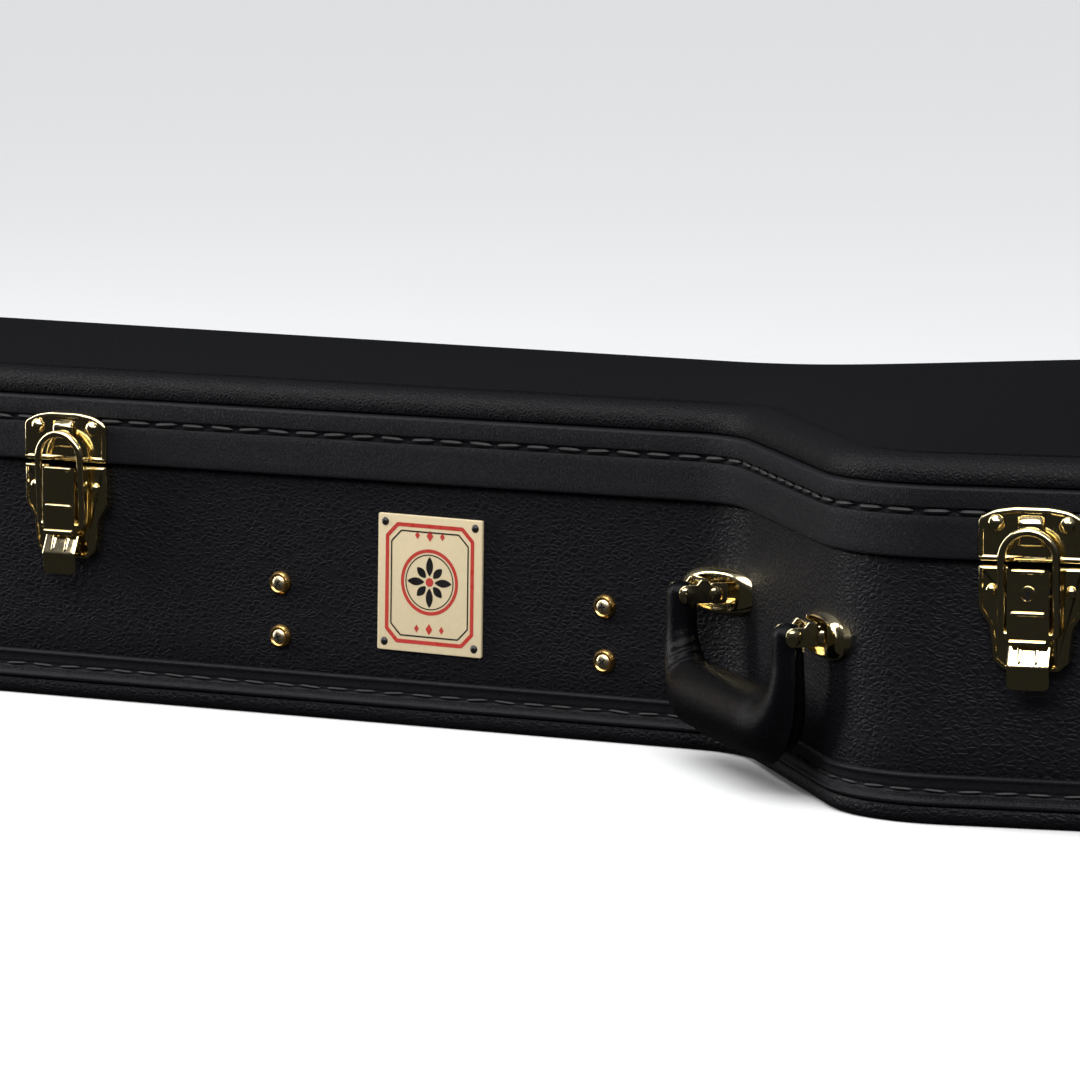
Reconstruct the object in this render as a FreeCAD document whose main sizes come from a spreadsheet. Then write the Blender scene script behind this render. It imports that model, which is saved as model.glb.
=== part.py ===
"""Hard-shell guitar case: vinyl-covered plywood base and arched lid, gold hardware.

Frame: X runs from the head end to the tail end, -Y is the handle side, Z is up.
The origin lies on the floor, half-way along the case and on its long axis.
"""
import FreeCAD, Part
import math
import os
from FreeCAD import Placement, Rotation, Vector

os.makedirs("parts", exist_ok=True)
doc = FreeCAD.newDocument("guitar_case")
UP = Vector(0, 0, 1)

# ---------------------------------------------------------------- driving sizes
SIZES = [
    ("case_length", 1024, "base wall, head end to tail end"),
    ("head_half_width", 75.2, "half width of the neck part at the head end"),
    ("head_radius", 30, "corner of the head end"),
    ("shoulder_x", -64.8, "corner where the neck part meets the shoulder"),
    ("shoulder_half_width", 53.8, "half width at that corner"),
    ("shoulder_radius", 44, "hollow curve of the shoulder"),
    ("upper_x", 49.9, "corner of the upper bout"),
    ("upper_half_width", 168.5, "half width at that corner, before it is rounded"),
    ("upper_radius", 56, "round of the upper bout"),
    ("waist_x", 192.7, "corner of the waist"),
    ("waist_half_width", 128.4, "half width at that corner, before it is rounded"),
    ("waist_radius", 120, "hollow curve of the waist"),
    ("lower_half_width", 328.6, "corner of the lower bout, before it is rounded"),
    ("lower_radius", 150, "round of the lower bout"),
    ("panel_thick", 6.5, "bottom panel"),
    ("panel_round", 4, "rolled lower edge of the bottom panel"),
    ("panel_overhang", 0.8, "bottom panel outside the wall"),
    ("welt_bottom", 7, "lower edge of the stitched strip round the base"),
    ("welt_high", 11, "height of that strip"),
    ("welt_proud", 1.4, "strip outside the wall"),
    ("base_top", 92.7, "top of the base wall"),
    ("lid_bottom", 93.2, "lower edge of the lid"),
    ("lid_band_top", 118.6, "top of the lid's smooth band"),
    ("lid_edge_high", 128.5, "height of the lid's rolled edge"),
    ("neck_rise", 10.5, "arch of the lid over the neck, above its edge"),
    ("body_rise", 18.5, "arch of the lid over the body, above its edge"),
    ("wall_thick", 6, "plywood base wall with its vinyl"),
    ("lid_wall_thick", 4.8, "plywood lid wall"),
    ("band_proud", 3.5, "lid band outside the wall"),
    ("lid_proud", 1.5, "rolled edge of the lid panel outside the wall"),
    ("lid_panel_thick", 5, "arched lid panel"),
    ("board_thick", 3, "inner board of the base, which stands up inside the lid"),
    ("board_top", 101, "top of the inner board"),
    ("lining_thick", 3.5, "plush lining"),
    ("plate_front", 5.2, "front face of a latch plate from the base wall"),
    ("lever_pivot_drop", 5, "lever pivot below the parting line"),
    ("lever_pivot_out", 7.2, "lever pivot from the base wall"),
    ("bail_pivot_drop", 24.5, "bail pivot below the parting line"),
    ("bail_pivot_out", 7.4, "bail pivot from the base wall"),
    ("bail_half_gap", 9.75, "bail leg from the latch's middle"),
    ("bail_wire_radius", 1.5, "bail wire"),
    ("bail_high", 35.9, "bail pivot to the middle of the arch wire"),
    ("small_pin_radius", 1, "lever pivot pin"),
    ("running_gap", 0.05, "radial clearance of a turning pin"),
    ("handle_high", 61, "handle pivots above the floor"),
    ("handle_pin_out", 4.4, "bracket pin from the line between the two plates"),
    ("link_long", 11, "bracket pin to handle pin"),
    ("handle_drop", 38, "handle pin down to the middle of the grip"),
    ("handle_half_span", 63, "handle pin from the handle's middle"),
    ("handle_pin_radius", 1.6, "pins of the handle"),
    ("arm_radius", 5.4, "arms of the handle"),
    ("grip_radius", 12, "padded middle of the handle"),
    ("hinge_out", 7, "hinge axis from the base wall"),
    ("knuckle_radius", 3, "hinge knuckle"),
    ("hinge_pin_radius", 1.5, "hinge pin"),
    ("hinge_wide", 30, "length of one hinge along its pin"),
    ("pocket_head_x", -265.2, "middle of the pocket's wall on the head side"),
    ("pocket_body_x", -122.3, "middle of the pocket's wall on the body side"),
    ("pocket_wall_thick", 8, "padded board of a pocket wall"),
    ("pocket_wall_top", 78, "top of a pocket wall"),
    ("neck_rest", 58, "bottom of the notch that the neck lies in"),
    ("notch_wide", 58, "width of that notch"),
    ("flap_bottom", 42, "underside of the pocket's flap"),
    ("flap_thick", 4, "pocket flap"),
    ("plaque_wide", 46, "name plate without a name"),
    ("plaque_high", 52.2, "name plate"),
    ("plaque_thick", 1.5, "name plate"),
]
sheet = doc.addObject("Spreadsheet::Sheet", "sizes")
for row, (alias, value, note) in enumerate(SIZES, start=1):
    sheet.set(f"A{row}", alias)
    sheet.set(f"B{row}", str(value))
    sheet.setAlias(f"B{row}", alias)
    sheet.set(f"C{row}", note)
doc.recompute()


def size(alias):
    """Value of one driving size."""
    return float(sheet.get(alias))


def bind(item, **expressions):
    """Tie properties of an object to the sheet."""
    for name, text in expressions.items():
        item.setExpression(name, text)
    return item


# ---------------------------------------------------------------- generic features
def fixed(name, shape):
    """Feature whose shape is worked out in this file from the sheet."""
    item = doc.addObject("Part::Feature", name)
    item.Shape = shape
    return item


def box(name, low, high, frame=Placement()):
    """Box between two corners of a local frame."""
    item = doc.addObject("Part::Box", name)
    item.Length, item.Width, item.Height = [b - a for a, b in zip(low, high)]
    item.Placement = frame.multiply(Placement(Vector(*low), Rotation()))
    return item


def rod(name, radius, start, along, length, frame=Placement()):
    """Cylinder from a start point in a local frame; radius may be an expression."""
    item = doc.addObject("Part::Cylinder", name)
    if isinstance(radius, str):
        bind(item, Radius=radius)
    else:
        item.Radius = radius
    item.Height = length
    item.Placement = frame.multiply(Placement(Vector(*start), Rotation(UP, Vector(*along))))
    return item


def dome(name, radius, height, centre, frame=Placement()):
    """Cap of a sphere: a rivet head that rises along the local Z."""
    ball = (radius ** 2 + height ** 2) / (2 * height)
    item = doc.addObject("Part::Sphere", name)
    item.Radius = ball
    item.Angle1 = math.degrees(math.asin((ball - height) / ball))
    item.Placement = frame.multiply(Placement(Vector(*centre) - UP * (ball - height), Rotation()))
    return item


def cut(name, base, *tools):
    """Base without its tools."""
    tool = tools[0] if len(tools) == 1 else fuse(name + "_tools", *tools)
    item = doc.addObject("Part::Cut", name)
    item.Base, item.Tool = base, tool
    return item


def fuse(name, *items):
    """One solid from several that touch."""
    item = doc.addObject("Part::MultiFuse", name)
    item.Shapes = list(items)
    return item


def common(name, first, second):
    """What two solids share."""
    item = doc.addObject("Part::Common", name)
    item.Base, item.Tool = first, second
    return item


def group(name, items):
    """Separate solids of one kind in one node."""
    item = doc.addObject("Part::Compound", name)
    item.Links = list(items)
    return item


def profile_solid(name, points, length, frame, axes="XY", start=0.0):
    """Prism: a closed outline in the local XY or YZ plane, pushed along the third axis."""
    place = {"XY": lambda p, q: Vector(p, q, start), "YZ": lambda p, q: Vector(start, p, q)}[axes]
    corners = [place(*point) for point in points]
    wire = fixed(name + "_outline", Part.makePolygon(corners + corners[:1]))
    wire.Placement = frame
    push = Vector(0, 0, 1) if axes == "XY" else Vector(1, 0, 0)
    item = doc.addObject("Part::Extrusion", name)
    item.Base = wire
    item.DirMode = "Custom"
    item.Dir = frame.Rotation.multVec(push)
    item.Solid = True
    if isinstance(length, str):
        bind(item, LengthFwd=length)
    else:
        item.LengthFwd = length
    return item


# ---------------------------------------------------------------- case outline
def outline_corners(grow):
    """Corners (point, radius) of the outline in order, moved outwards by grow.

    Each side of the corner polygon moves along its normal; a round that bulges
    outwards grows by the same amount and a hollow one shrinks.
    """
    half = size("case_length") / 2
    side = [
        (-half, size("head_half_width"), size("head_radius")),
        (size("shoulder_x"), size("shoulder_half_width"), -size("shoulder_radius")),
        (size("upper_x"), size("upper_half_width"), size("upper_radius")),
        (size("waist_x"), size("waist_half_width"), -size("waist_radius")),
        (half, size("lower_half_width"), size("lower_radius")),
    ]
    ring = side + [(x, -y, radius) for x, y, radius in reversed(side)]
    points = [Vector(x, y, 0) for x, y, _ in ring]
    moved = []
    for index, point in enumerate(points):
        before = (point - points[index - 1]).normalize()
        after = (points[(index + 1) % len(points)] - point).normalize()
        normals = [Vector(-along.y, along.x, 0) for along in (before, after)]
        shift = (normals[0] + normals[1]) * (grow / (1 + normals[0].dot(normals[1])))
        moved.append((point + shift, ring[index][2]))
    return [(point, abs(radius + grow)) for point, radius in moved]


def outline_wire(grow):
    """Closed wire of straight sides and tangent arcs at z = 0."""
    corners = outline_corners(grow)
    spans = []
    for index, (point, radius) in enumerate(corners):
        before = (corners[index - 1][0] - point).normalize()
        after = (corners[(index + 1) % len(corners)][0] - point).normalize()
        half_angle = before.getAngle(after) / 2
        reach = radius / math.tan(half_angle)
        middle = (before + after).normalize() * (radius / math.sin(half_angle) - radius)
        spans.append((point + before * reach, point + middle, point + after * reach))
    edges = []
    for index, (start, middle, end) in enumerate(spans):
        edges.append(Part.makeLine(spans[index - 1][2], start))
        edges.append(Part.Arc(start, middle, end).toShape())
    return Part.Wire(edges)


def slab(name, grow, bottom, height):
    """Solid inside the grown outline; bottom is a number, height an expression."""
    wire = fixed(name + "_outline", outline_wire(grow))
    wire.Placement.Base.z = bottom
    item = doc.addObject("Part::Extrusion", name)
    item.Base = wire
    item.DirMode = "Custom"
    item.Dir = UP
    item.Solid = True
    return bind(item, LengthFwd=height)


def ring(name, outer, inner, bottom, height):
    """Wall between two grown outlines."""
    outside = slab(name + "_out", outer, bottom, height)
    return cut(name, outside, slab(name + "_in", inner, bottom, height))


def upright(origin, normal):
    """Frame on a wall: X along the wall, Y up, Z outwards."""
    out = Vector(*normal).normalize()
    return Placement(origin, Rotation(UP.cross(out), UP, out, "ZYX"))


def wall_point(x, grow=0.0):
    """Point and outward normal of the handle-side wall at x."""
    probe = Part.makeLine(Vector(x, -40, 0), Vector(x, -300, 0))
    wire = outline_wire(grow)
    _, pairs, details = wire.distToShape(probe)
    edge = wire.Edges[details[0][1]]
    along = edge.tangentAt(details[0][2])
    normal = Vector(along.y, -along.x, 0)
    return pairs[0][0], normal if normal.y < 0 else -normal


def wall_frame(x, height):
    """Frame on the handle-side wall at x, at a height above the floor."""
    point, normal = wall_point(x)
    return upright(point + UP * height, normal)


parts = []


def keep(item, label):
    """Mark an object as a finished sub-part."""
    item.Label = label
    parts.append(item)
    return item


# ---------------------------------------------------------------- base shell
def make_base():
    """Bottom panel, wall, stitched strip, inner board and plush of the base."""
    panel = slab("panel_blank", size("panel_overhang"), 0, "sizes.panel_thick")
    doc.recompute()
    low_edges = [
        index + 1
        for index, edge in enumerate(panel.Shape.Edges)
        if edge.BoundBox.ZMax < 0.01
    ]
    rolled = doc.addObject("Part::Fillet", "panel_rolled")
    rolled.Base = panel
    rolled.Edges = [(index, size("panel_round"), size("panel_round")) for index in low_edges]
    keep(rolled, "base_panel")
    wall_in = -size("wall_thick")
    board_in = wall_in - size("board_thick")
    lining_in = board_in - size("lining_thick")
    floor = size("panel_thick")
    wall = ring("wall", 0, wall_in, floor, "sizes.base_top - sizes.panel_thick")
    keep(wall, "base_wall")
    welt = ring("welt", size("welt_proud"), 0, size("welt_bottom"), "sizes.welt_high")
    keep(welt, "base_welt")
    board = ring("board", wall_in, board_in, floor, "sizes.board_top - sizes.panel_thick")
    keep(board, "base_inner_board")
    keep(slab("floor_plush", board_in, floor, "sizes.lining_thick"), "base_floor_lining")
    plush_bottom = floor + size("lining_thick")
    plush_high = "sizes.board_top - sizes.panel_thick - 2 * sizes.lining_thick"
    keep(ring("wall_plush", board_in, lining_in, plush_bottom, plush_high), "base_wall_lining")
    return lining_in


# ---------------------------------------------------------------- lid
ARCH_INSET = 8.0  # flat brim between the wall and the foot of the arch


def half_width(x, grow):
    """Half width of the case at x."""
    point, _ = wall_point(x, grow)
    return -point.y


def arch_solid(name, drop, inset):
    """Solid under the lid's arched top, lowered by drop and narrowed by inset.

    Each cross-section is a flat brim at edge height and a circular arc over the
    case's own width; the arch rises from its neck height to its body height.
    """
    half = size("case_length") / 2
    stations = [-half - 20, -300, -110, -85, -60, -35, -10, 15, 40, 70, 120, 180, 250, 310, 362, 440]
    stations.append(half + 20)
    base = size("lid_band_top") - 12
    brim = 260.0
    wires = []
    for x in stations:
        blend = min(max((x + 110) / 200, 0), 1)
        blend = blend * blend * (3 - 2 * blend)
        rise = size("neck_rise") + (size("body_rise") - size("neck_rise")) * blend
        inside = min(max(x, -half + 25), half - 70)
        reach = half_width(inside, 0) - inset
        edge = size("lid_edge_high") - drop
        corner = [Vector(x, side * reach, edge) for side in (-1, 1)]
        outer = [Vector(x, side * brim, edge) for side in (-1, 1)]
        foot = [Vector(x, side * brim, base) for side in (-1, 1)]
        wires.append(Part.Wire([
            Part.makeLine(outer[0], corner[0]),
            Part.Arc(corner[0], Vector(x, 0, edge + rise), corner[1]).toShape(),
            Part.makeLine(corner[1], outer[1]),
            Part.makeLine(outer[1], foot[1]),
            Part.makeLine(foot[1], foot[0]),
            Part.makeLine(foot[0], outer[0]),
        ]))
    return fixed(name, Part.makeLoft(wires, True, True))


def make_lid():
    """Lid wall, smooth outer band, arched panel and plush of the lid."""
    wall_high = "sizes.lid_band_top - sizes.lid_bottom"
    bottom = size("lid_bottom")
    top = size("lid_band_top")
    wall_in = -size("lid_wall_thick")
    keep(ring("lid_ring", 0, wall_in, bottom, wall_high), "lid_wall")
    keep(ring("band", size("band_proud"), 0, bottom, wall_high), "lid_band")
    panel_in = -size("lid_panel_thick")
    panel_high = "sizes.lid_edge_high + sizes.body_rise + 5 - sizes.lid_band_top"
    block = slab("lid_block", size("lid_proud"), top, panel_high)
    skin = common("lid_skin", block, arch_solid("arch_top", 0, ARCH_INSET))
    hollow_block = slab("lid_hollow_block", panel_in, top, panel_high)
    under_inset = ARCH_INSET + size("lid_panel_thick")
    arch_under = arch_solid("arch_under", size("lid_panel_thick"), under_inset)
    hollow = common("lid_hollow", hollow_block, arch_under)
    keep(cut("lid_shell", skin, hollow), "lid_panel")
    lining = size("lining_thick")
    plush_top = common(
        "lid_plush_top",
        slab("lid_plush_block", panel_in, top, panel_high),
        arch_solid("arch_plush", size("lid_panel_thick"), under_inset),
    )
    plush_hollow = common(
        "lid_plush_hollow",
        slab("lid_plush_hollow_block", panel_in - lining, top - 1, panel_high),
        arch_solid("arch_plush_under", size("lid_panel_thick") + lining, under_inset + 4),
    )
    keep(cut("lid_plush", plush_top, plush_hollow), "lid_top_lining")
    side_bottom = size("board_top") + 2
    side_high = "sizes.lid_band_top - sizes.board_top - 2"
    side = ring("lid_side_plush", wall_in, wall_in - lining, side_bottom, side_high)
    keep(side, "lid_side_lining")


# ---------------------------------------------------------------- latches
PLATE_SIDE = [(19, -0.9), (19, -16.2), (15, -22), (13.6, -34), (9.6, -37.4)]
STRIKER_SIDE = [(19, 0.4), (19, 15.4), (14, 17.8), (7, 19.3)]
# lug outline (up, out) from the lever pivot: round enough for the lever to turn over it
LUG_SIDE = [(-8, -3), (-1.6, 1.15), (-0.5, 1.6), (0.6, 1.5),
            (1.35, 0.9), (1.62, 0), (1.35, -0.9), (0.6, -1.5)]
LUG_SIDE += [(-0.9, -2.1), (-5.5, -3.2)]
LUG_NEAR = 5.0
LUG_THICK = 1.2


def mirrored(points):
    """Outline that is the same on both sides of the local Y axis."""
    return points + [(-x, y) for x, y in reversed(points)]


def latch_base(tag, frame):
    """Base plate: a pan with a notch behind the lever and two lugs for its pivot."""
    front = size("plate_front")
    out = size("lever_pivot_out")
    drop = size("lever_pivot_drop")
    pan = profile_solid(f"{tag}_pan", mirrored(PLATE_SIDE), "sizes.plate_front", frame)
    inset = [(x - 1.4, y - (1.2 if y > -1 else -1.0)) for x, y in PLATE_SIDE]
    hollow = profile_solid(f"{tag}_hollow", mirrored(inset), front - 1.2, frame)
    notch = box(f"{tag}_notch", (-8, -drop - 5.5, -1), (8, 0, front + 1), frame)
    sheet_metal = cut(f"{tag}_sheet", pan, hollow, notch)
    lugs = []
    for side in (-1, 1):
        low = min(side * LUG_NEAR, side * (LUG_NEAR + LUG_THICK))
        points = [(y - drop, z + out) for y, z in LUG_SIDE]
        lugs.append(profile_solid(f"{tag}_lug_{side + 2}", points, LUG_THICK, frame, "YZ", low))
    bore = rod(f"{tag}_bore", "sizes.small_pin_radius", (-10, -drop, out), (1, 0, 0), 20, frame)
    body = fuse(f"{tag}_plate_lugs", sheet_metal, *lugs)
    keep(cut(f"{tag}_plate_bored", body, bore), f"{tag}_plate")
    pin = rod(f"{tag}_pin", "sizes.small_pin_radius", (-7.5, -drop, out), (1, 0, 0), 15, frame)
    rivets = [dome(f"{tag}_rivet_{side + 2}", 2.2, 1.5, (side * 14, -9.5, front), frame) for side in (-1, 1)]
    return pin, rivets


def latch_striker(tag, frame):
    """Striker on the lid band with the raised boss that the bail goes round."""
    front = size("plate_front")
    band = size("band_proud")
    plate = profile_solid(f"{tag}_striker_sheet", mirrored(STRIKER_SIDE), front - band, frame, start=band)
    boss_side = [(6, front - 0.5), (6, 7.2), (7.5, 7.6), (13.5, 7.6), (16.2, 6.6), (16.8, front - 0.5)]
    boss = profile_solid(f"{tag}_boss", boss_side, 8.4, frame, "YZ", -4.2)
    keep(fuse(f"{tag}_striker_body", plate, boss), f"{tag}_striker")
    return [dome(f"{tag}_lid_rivet_{side + 2}", 3.1, 2, (side * 12.6, 14.0, front), frame)
            for side in (-1, 1)]


def latch_lever(tag, frame, keyed):
    """Lever: bent sheet with two cheeks, bored for its pivot and for the bail's tips."""
    gap = size("running_gap")
    drop, out = size("lever_pivot_drop"), size("lever_pivot_out")
    bail_drop, bail_out = size("bail_pivot_drop"), size("bail_pivot_out")
    bend = [(-1.6, 9.0), (-1.6, 10.2), (-29, 10.2), (-31.5, 9.6), (-33, 7.9), (-37.8, 7.9), (-41.8, 10.2)]
    bend += [(-43.2, 9.6), (-38.4, 6.4), (-32.4, 6.4), (-29.6, 9.0)]
    parts_here = [profile_solid(f"{tag}_lever_sheet", bend, 15, frame, "YZ", -7.5)]
    for side in (-1, 1):
        low = min(side * 6.6, side * 7.5)
        for place, (y, z) in enumerate(((-drop, out), (-bail_drop, bail_out))):
            cheek = [(y - 2.4, 9.1), (y - 2.0, z - 1.2), (y - 1.0, z - 1.8)]
            cheek += [(y + 1.0, z - 1.8), (y + 2.0, z - 1.2)]
            cheek.append((y + 2.4, 9.1))
            parts_here.append(profile_solid(f"{tag}_cheek_{place}_{side + 2}", cheek, 0.9, frame, "YZ", low))
    body = fuse(f"{tag}_lever_body", *parts_here)
    bores = [
        rod(f"{tag}_lever_bore", size("small_pin_radius") + gap, (-10, -drop, out), (1, 0, 0), 20, frame),
        rod(f"{tag}_tip_bore", size("small_pin_radius") + gap, (-10, -bail_drop, bail_out), (1, 0, 0),
            20, frame),
    ]
    if keyed:
        bores.append(rod(f"{tag}_key_bore", KEY_RADIUS + gap, (0, KEY_Y, 8), (0, 0, 1), 4, frame))
    keep(cut(f"{tag}_lever_bored", body, *bores), f"{tag}_lever")


def latch_bail(tag, frame):
    """Bail: one round wire, up one leg, over the arch and down the other."""
    gap, high = size("bail_half_gap"), size("bail_high")
    lean = Rotation(Vector(1, 0, 0), 3.2)
    pivot = Vector(0, -size("bail_pivot_drop"), size("bail_pivot_out"))
    own = frame.multiply(Placement(pivot, lean))
    left, right = Vector(-gap, 0, 0), Vector(gap, 0, 0)
    rise = Vector(0, high - gap, 0)
    path = Part.Wire([
        Part.makeLine(left, left + rise),
        Part.Arc(left + rise, Vector(0, high, 0), right + rise).toShape(),
        Part.makeLine(right + rise, right),
    ])
    section = Part.Wire([Part.makeCircle(size("bail_wire_radius"), left, Vector(0, 1, 0))])
    wire = fixed(f"{tag}_bail_wire", path.makePipeShell([section], True, False))
    wire.Placement = own
    reach = gap - 6.4
    tips = [
        rod(f"{tag}_tip_{place}", "sizes.small_pin_radius", (x, 0, 0), (1, 0, 0), reach, own)
        for place, x in enumerate((-gap, 6.4))
    ]
    ends = []
    for side in (-1, 1):
        knob = doc.addObject("Part::Sphere", f"{tag}_end_{side + 2}")
        bind(knob, Radius="sizes.bail_wire_radius")
        knob.Placement = own.multiply(Placement(Vector(side * gap, 0, 0), Rotation()))
        ends.append(knob)
    keep(fuse(f"{tag}_bail_body", wire, *tips, *ends), f"{tag}_bail")


LATCH_PLACES = {"neck_latch": -361, "lock_latch": 112.6, "body_latch": 362}
KEY_RADIUS = 3.0
KEY_Y = -10.0


def make_latches():
    """Four latches; the one on the upper bout has a lock."""
    parting = UP * ((size("base_top") + size("lid_bottom")) / 2)
    half = size("case_length") / 2
    tail = upright(Vector(half, 0, 0) + parting, (1, 0, 0))
    places = {
        tag: wall_frame(x, parting.z) for tag, x in LATCH_PLACES.items()
    }
    places["tail_latch"] = tail
    pins, base_rivets, lid_rivets = [], [], []
    for tag, frame in places.items():
        pin, rivets = latch_base(tag, frame)
        pins.append(pin)
        base_rivets += rivets
        lid_rivets += latch_striker(tag, frame)
        latch_lever(tag, frame, tag == "lock_latch")
        latch_bail(tag, frame)
    keep(group("pins_group", pins), "latch_pivot_pins")
    keep(group("base_rivet_group", base_rivets), "latch_base_rivets")
    keep(group("lid_rivet_group", lid_rivets), "latch_lid_rivets")
    frame = places["lock_latch"]
    barrel = rod("key_blank", KEY_RADIUS, (0, KEY_Y, 8.4), (0, 0, 1), 2.2, frame)
    slot = box("key_slot", (-0.5, KEY_Y - 1.8, 9), (0.5, KEY_Y + 1.8, 11), frame)
    keep(cut("key_barrel_slotted", barrel, slot), "key_barrel")


# ---------------------------------------------------------------- handle
PLATE_PLACES = (-70, 27)
RECESS_OUT = -0.6  # floor of the opening in each plate, from the line between the plates


def make_handle(wall_block):
    """Two domed plates with brackets, two links, their pins and the hanging grip."""
    high = size("handle_high")
    plates = []
    middles = []
    for place, x in enumerate(PLATE_PLACES):
        ends = [wall_point(x - 15)[0], wall_point(x + 15)[0]]
        along = (ends[1] - ends[0]).normalize()
        normal = Vector(along.y, -along.x, 0)
        middle = (ends[0] + ends[1]) / 2
        bulge = max((wall_point(x + step)[0] - middle).dot(normal) for step in (-10, -5, 0, 5, 10))
        frame = upright(middle + normal * max(bulge, 0) + UP * high, normal)
        slot = [(math.copysign(12.5, math.cos(a)) + 8.75 * math.cos(a), 8.75 * math.sin(a))
                for a in [math.radians(step * 15 + 7.5) for step in range(24)]]
        blank = profile_solid(f"handle_plate_{place}", slot, 10.5, frame, start=-7)
        plates.append(blank)
        middles.append(middle)
    chord = (middles[1] - middles[0]).normalize()
    normal = Vector(chord.y, -chord.x, 0)
    frame = upright((middles[0] + middles[1]) / 2 + UP * high, normal)
    span, near = size("handle_half_span"), size("handle_pin_out")
    far = near + size("link_long")
    recesses = [
        box(f"plate_recess_{place}", (middle - 9.4, -6, RECESS_OUT),
            (middle + 9.4, 6, far + RECESS_OUT), frame)
        for place, middle in enumerate((-span, span))
    ]
    plates = [
        cut(f"handle_plate_cut_{place}", blank, wall_block, recess)
        for place, (blank, recess) in enumerate(zip(plates, recesses))
    ]
    keep(group("handle_plate_group", plates), "handle_plates")
    pin_r, gap = size("handle_pin_radius"), size("running_gap")
    ears, wall_pins, links, link_pins = [], [], [], []
    for place, middle in enumerate((-span, span)):
        for side in (-1, 1):
            low = middle + min(side * 3.6, side * 5.4)
            ear = [(-4, -4), (-3.6, near + 1.5), (-2, near + 3.4)]
            ear += [(2, near + 3.4), (3.6, near + 1.5), (4, -4)]
            name = f"ear_{place}_{side + 2}"
            blank = profile_solid(name, ear, 1.8, frame, "YZ", low)
            bore = rod(name + "_bore", pin_r, (low - 1, 0, near), (1, 0, 0), 4, frame)
            ears.append(cut(name + "_cut", blank, wall_block, bore, *plates))
        shaft = rod(f"wall_pin_{place}", pin_r, (middle - 8.6, 0, near), (1, 0, 0), 17.2, frame)
        heads = [rod(f"wall_pin_head_{place}_{n}", 2.8, (middle + x, 0, near), (1, 0, 0), 0.8, frame)
                 for n, x in enumerate((-8.6, 7.8))]
        wall_pins.append(fuse(f"wall_pin_body_{place}", shaft, *heads))
        strap = [(-3.5, near + 1.5), (-2.6, near), (-1.9, near - 1.8), (0, near - 2.6), (1.9, near - 1.8)]
        strap += [(3, near), (5.4, near + 2)]
        strap += [(5.4, near + 5.6), (3.5, far), (2.6, far + 2.6), (-2.6, far + 2.6), (-3.5, far)]
        cheeks = [profile_solid(f"link_{place}_{n}", strap, 1.4, frame, "YZ", middle + x)
                  for n, x in enumerate((-7.4, 6.0))]
        web = box(f"link_web_{place}", (middle - 7.4, 4.2, near + 2),
                  (middle + 7.4, 5.4, near + 5.6), frame)
        bores = [rod(f"link_bore_{place}_{n}", radius, (middle - 12, 0, z), (1, 0, 0), 24, frame)
                 for n, (radius, z) in enumerate(((pin_r + gap, near), (pin_r, far)))]
        links.append(cut(f"link_body_{place}", fuse(f"link_blank_{place}", web, *cheeks), *bores))
        shaft = rod(f"link_pin_{place}", pin_r, (middle - 8.2, 0, far), (1, 0, 0), 16.4, frame)
        heads = [rod(f"link_pin_head_{place}_{n}", 2.8, (middle + x, 0, far), (1, 0, 0), 0.8, frame)
                 for n, x in enumerate((-8.2, 7.4))]
        link_pins.append(fuse(f"link_pin_body_{place}", shaft, *heads))
    keep(group("ear_group", ears), "handle_brackets")
    keep(group("wall_pin_group", wall_pins), "handle_bracket_pins")
    keep(group("link_group", links), "handle_links")
    keep(group("link_pin_group", link_pins), "handle_link_pins")
    make_grip(frame, span, far, pin_r + gap)


def make_grip(frame, span, far, bore_radius):
    """Grip: a U of round section with a fatter middle and an eye at each end."""
    drop, arm = size("handle_drop"), size("arm_radius")
    turn = 18.0
    corner = turn * (1 - math.sqrt(0.5))
    left = [Vector(-span, 0, far), Vector(-span, -drop + turn, far)]
    left.append(Vector(-span + corner, -drop + corner, far))
    left.append(Vector(-span + turn, -drop, far))
    right = [Vector(-point.x, point.y, point.z) for point in reversed(left)]
    path = Part.Wire([
        Part.makeLine(left[0], left[1]),
        Part.Arc(*left[1:]).toShape(),
        Part.makeLine(left[3], right[0]),
        Part.Arc(*right[:3]).toShape(),
        Part.makeLine(right[2], right[3]),
    ])
    section = Part.Wire([Part.makeCircle(arm, left[0], Vector(0, 1, 0))])
    bow = fixed("grip_bow", path.makePipeShell([section], True, False))
    bow.Placement = frame
    middle = rod("grip_middle", "sizes.grip_radius", (-34, -drop, far), (1, 0, 0), 68, frame)
    pieces = [bow, middle]
    for side in (-1, 1):
        taper = doc.addObject("Part::Cone", f"grip_taper_{side + 2}")
        bind(taper, Radius1="sizes.grip_radius", Radius2="sizes.arm_radius - 0.8")
        taper.Height = 13
        turned = Rotation(UP, Vector(side, 0, 0))
        taper.Placement = frame.multiply(Placement(Vector(side * 34, -drop, far), turned))
        eye = rod(f"grip_eye_{side + 2}", arm + 0.6, (side * span - 5, 0, far), (1, 0, 0), 10, frame)
        pieces += [taper, eye]
    bores = [rod(f"grip_bore_{n}", bore_radius, (x - 10, 0, far), (1, 0, 0), 20, frame)
             for n, x in enumerate((-span, span))]
    keep(cut("grip_body", fuse("grip_blank", *pieces), *bores), "handle_grip")


# ---------------------------------------------------------------- hinges
PAIR_SHIFT = 24.0  # each of the lower bout's two hinges from the point where the line touches
LEAF_BACK = 5.4  # face of a base leaf behind the hinge axis
LID_LEAF_BACK = 1.9
RIVET = (2.4, 1.4)  # radius and height of a hinge rivet's head


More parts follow.
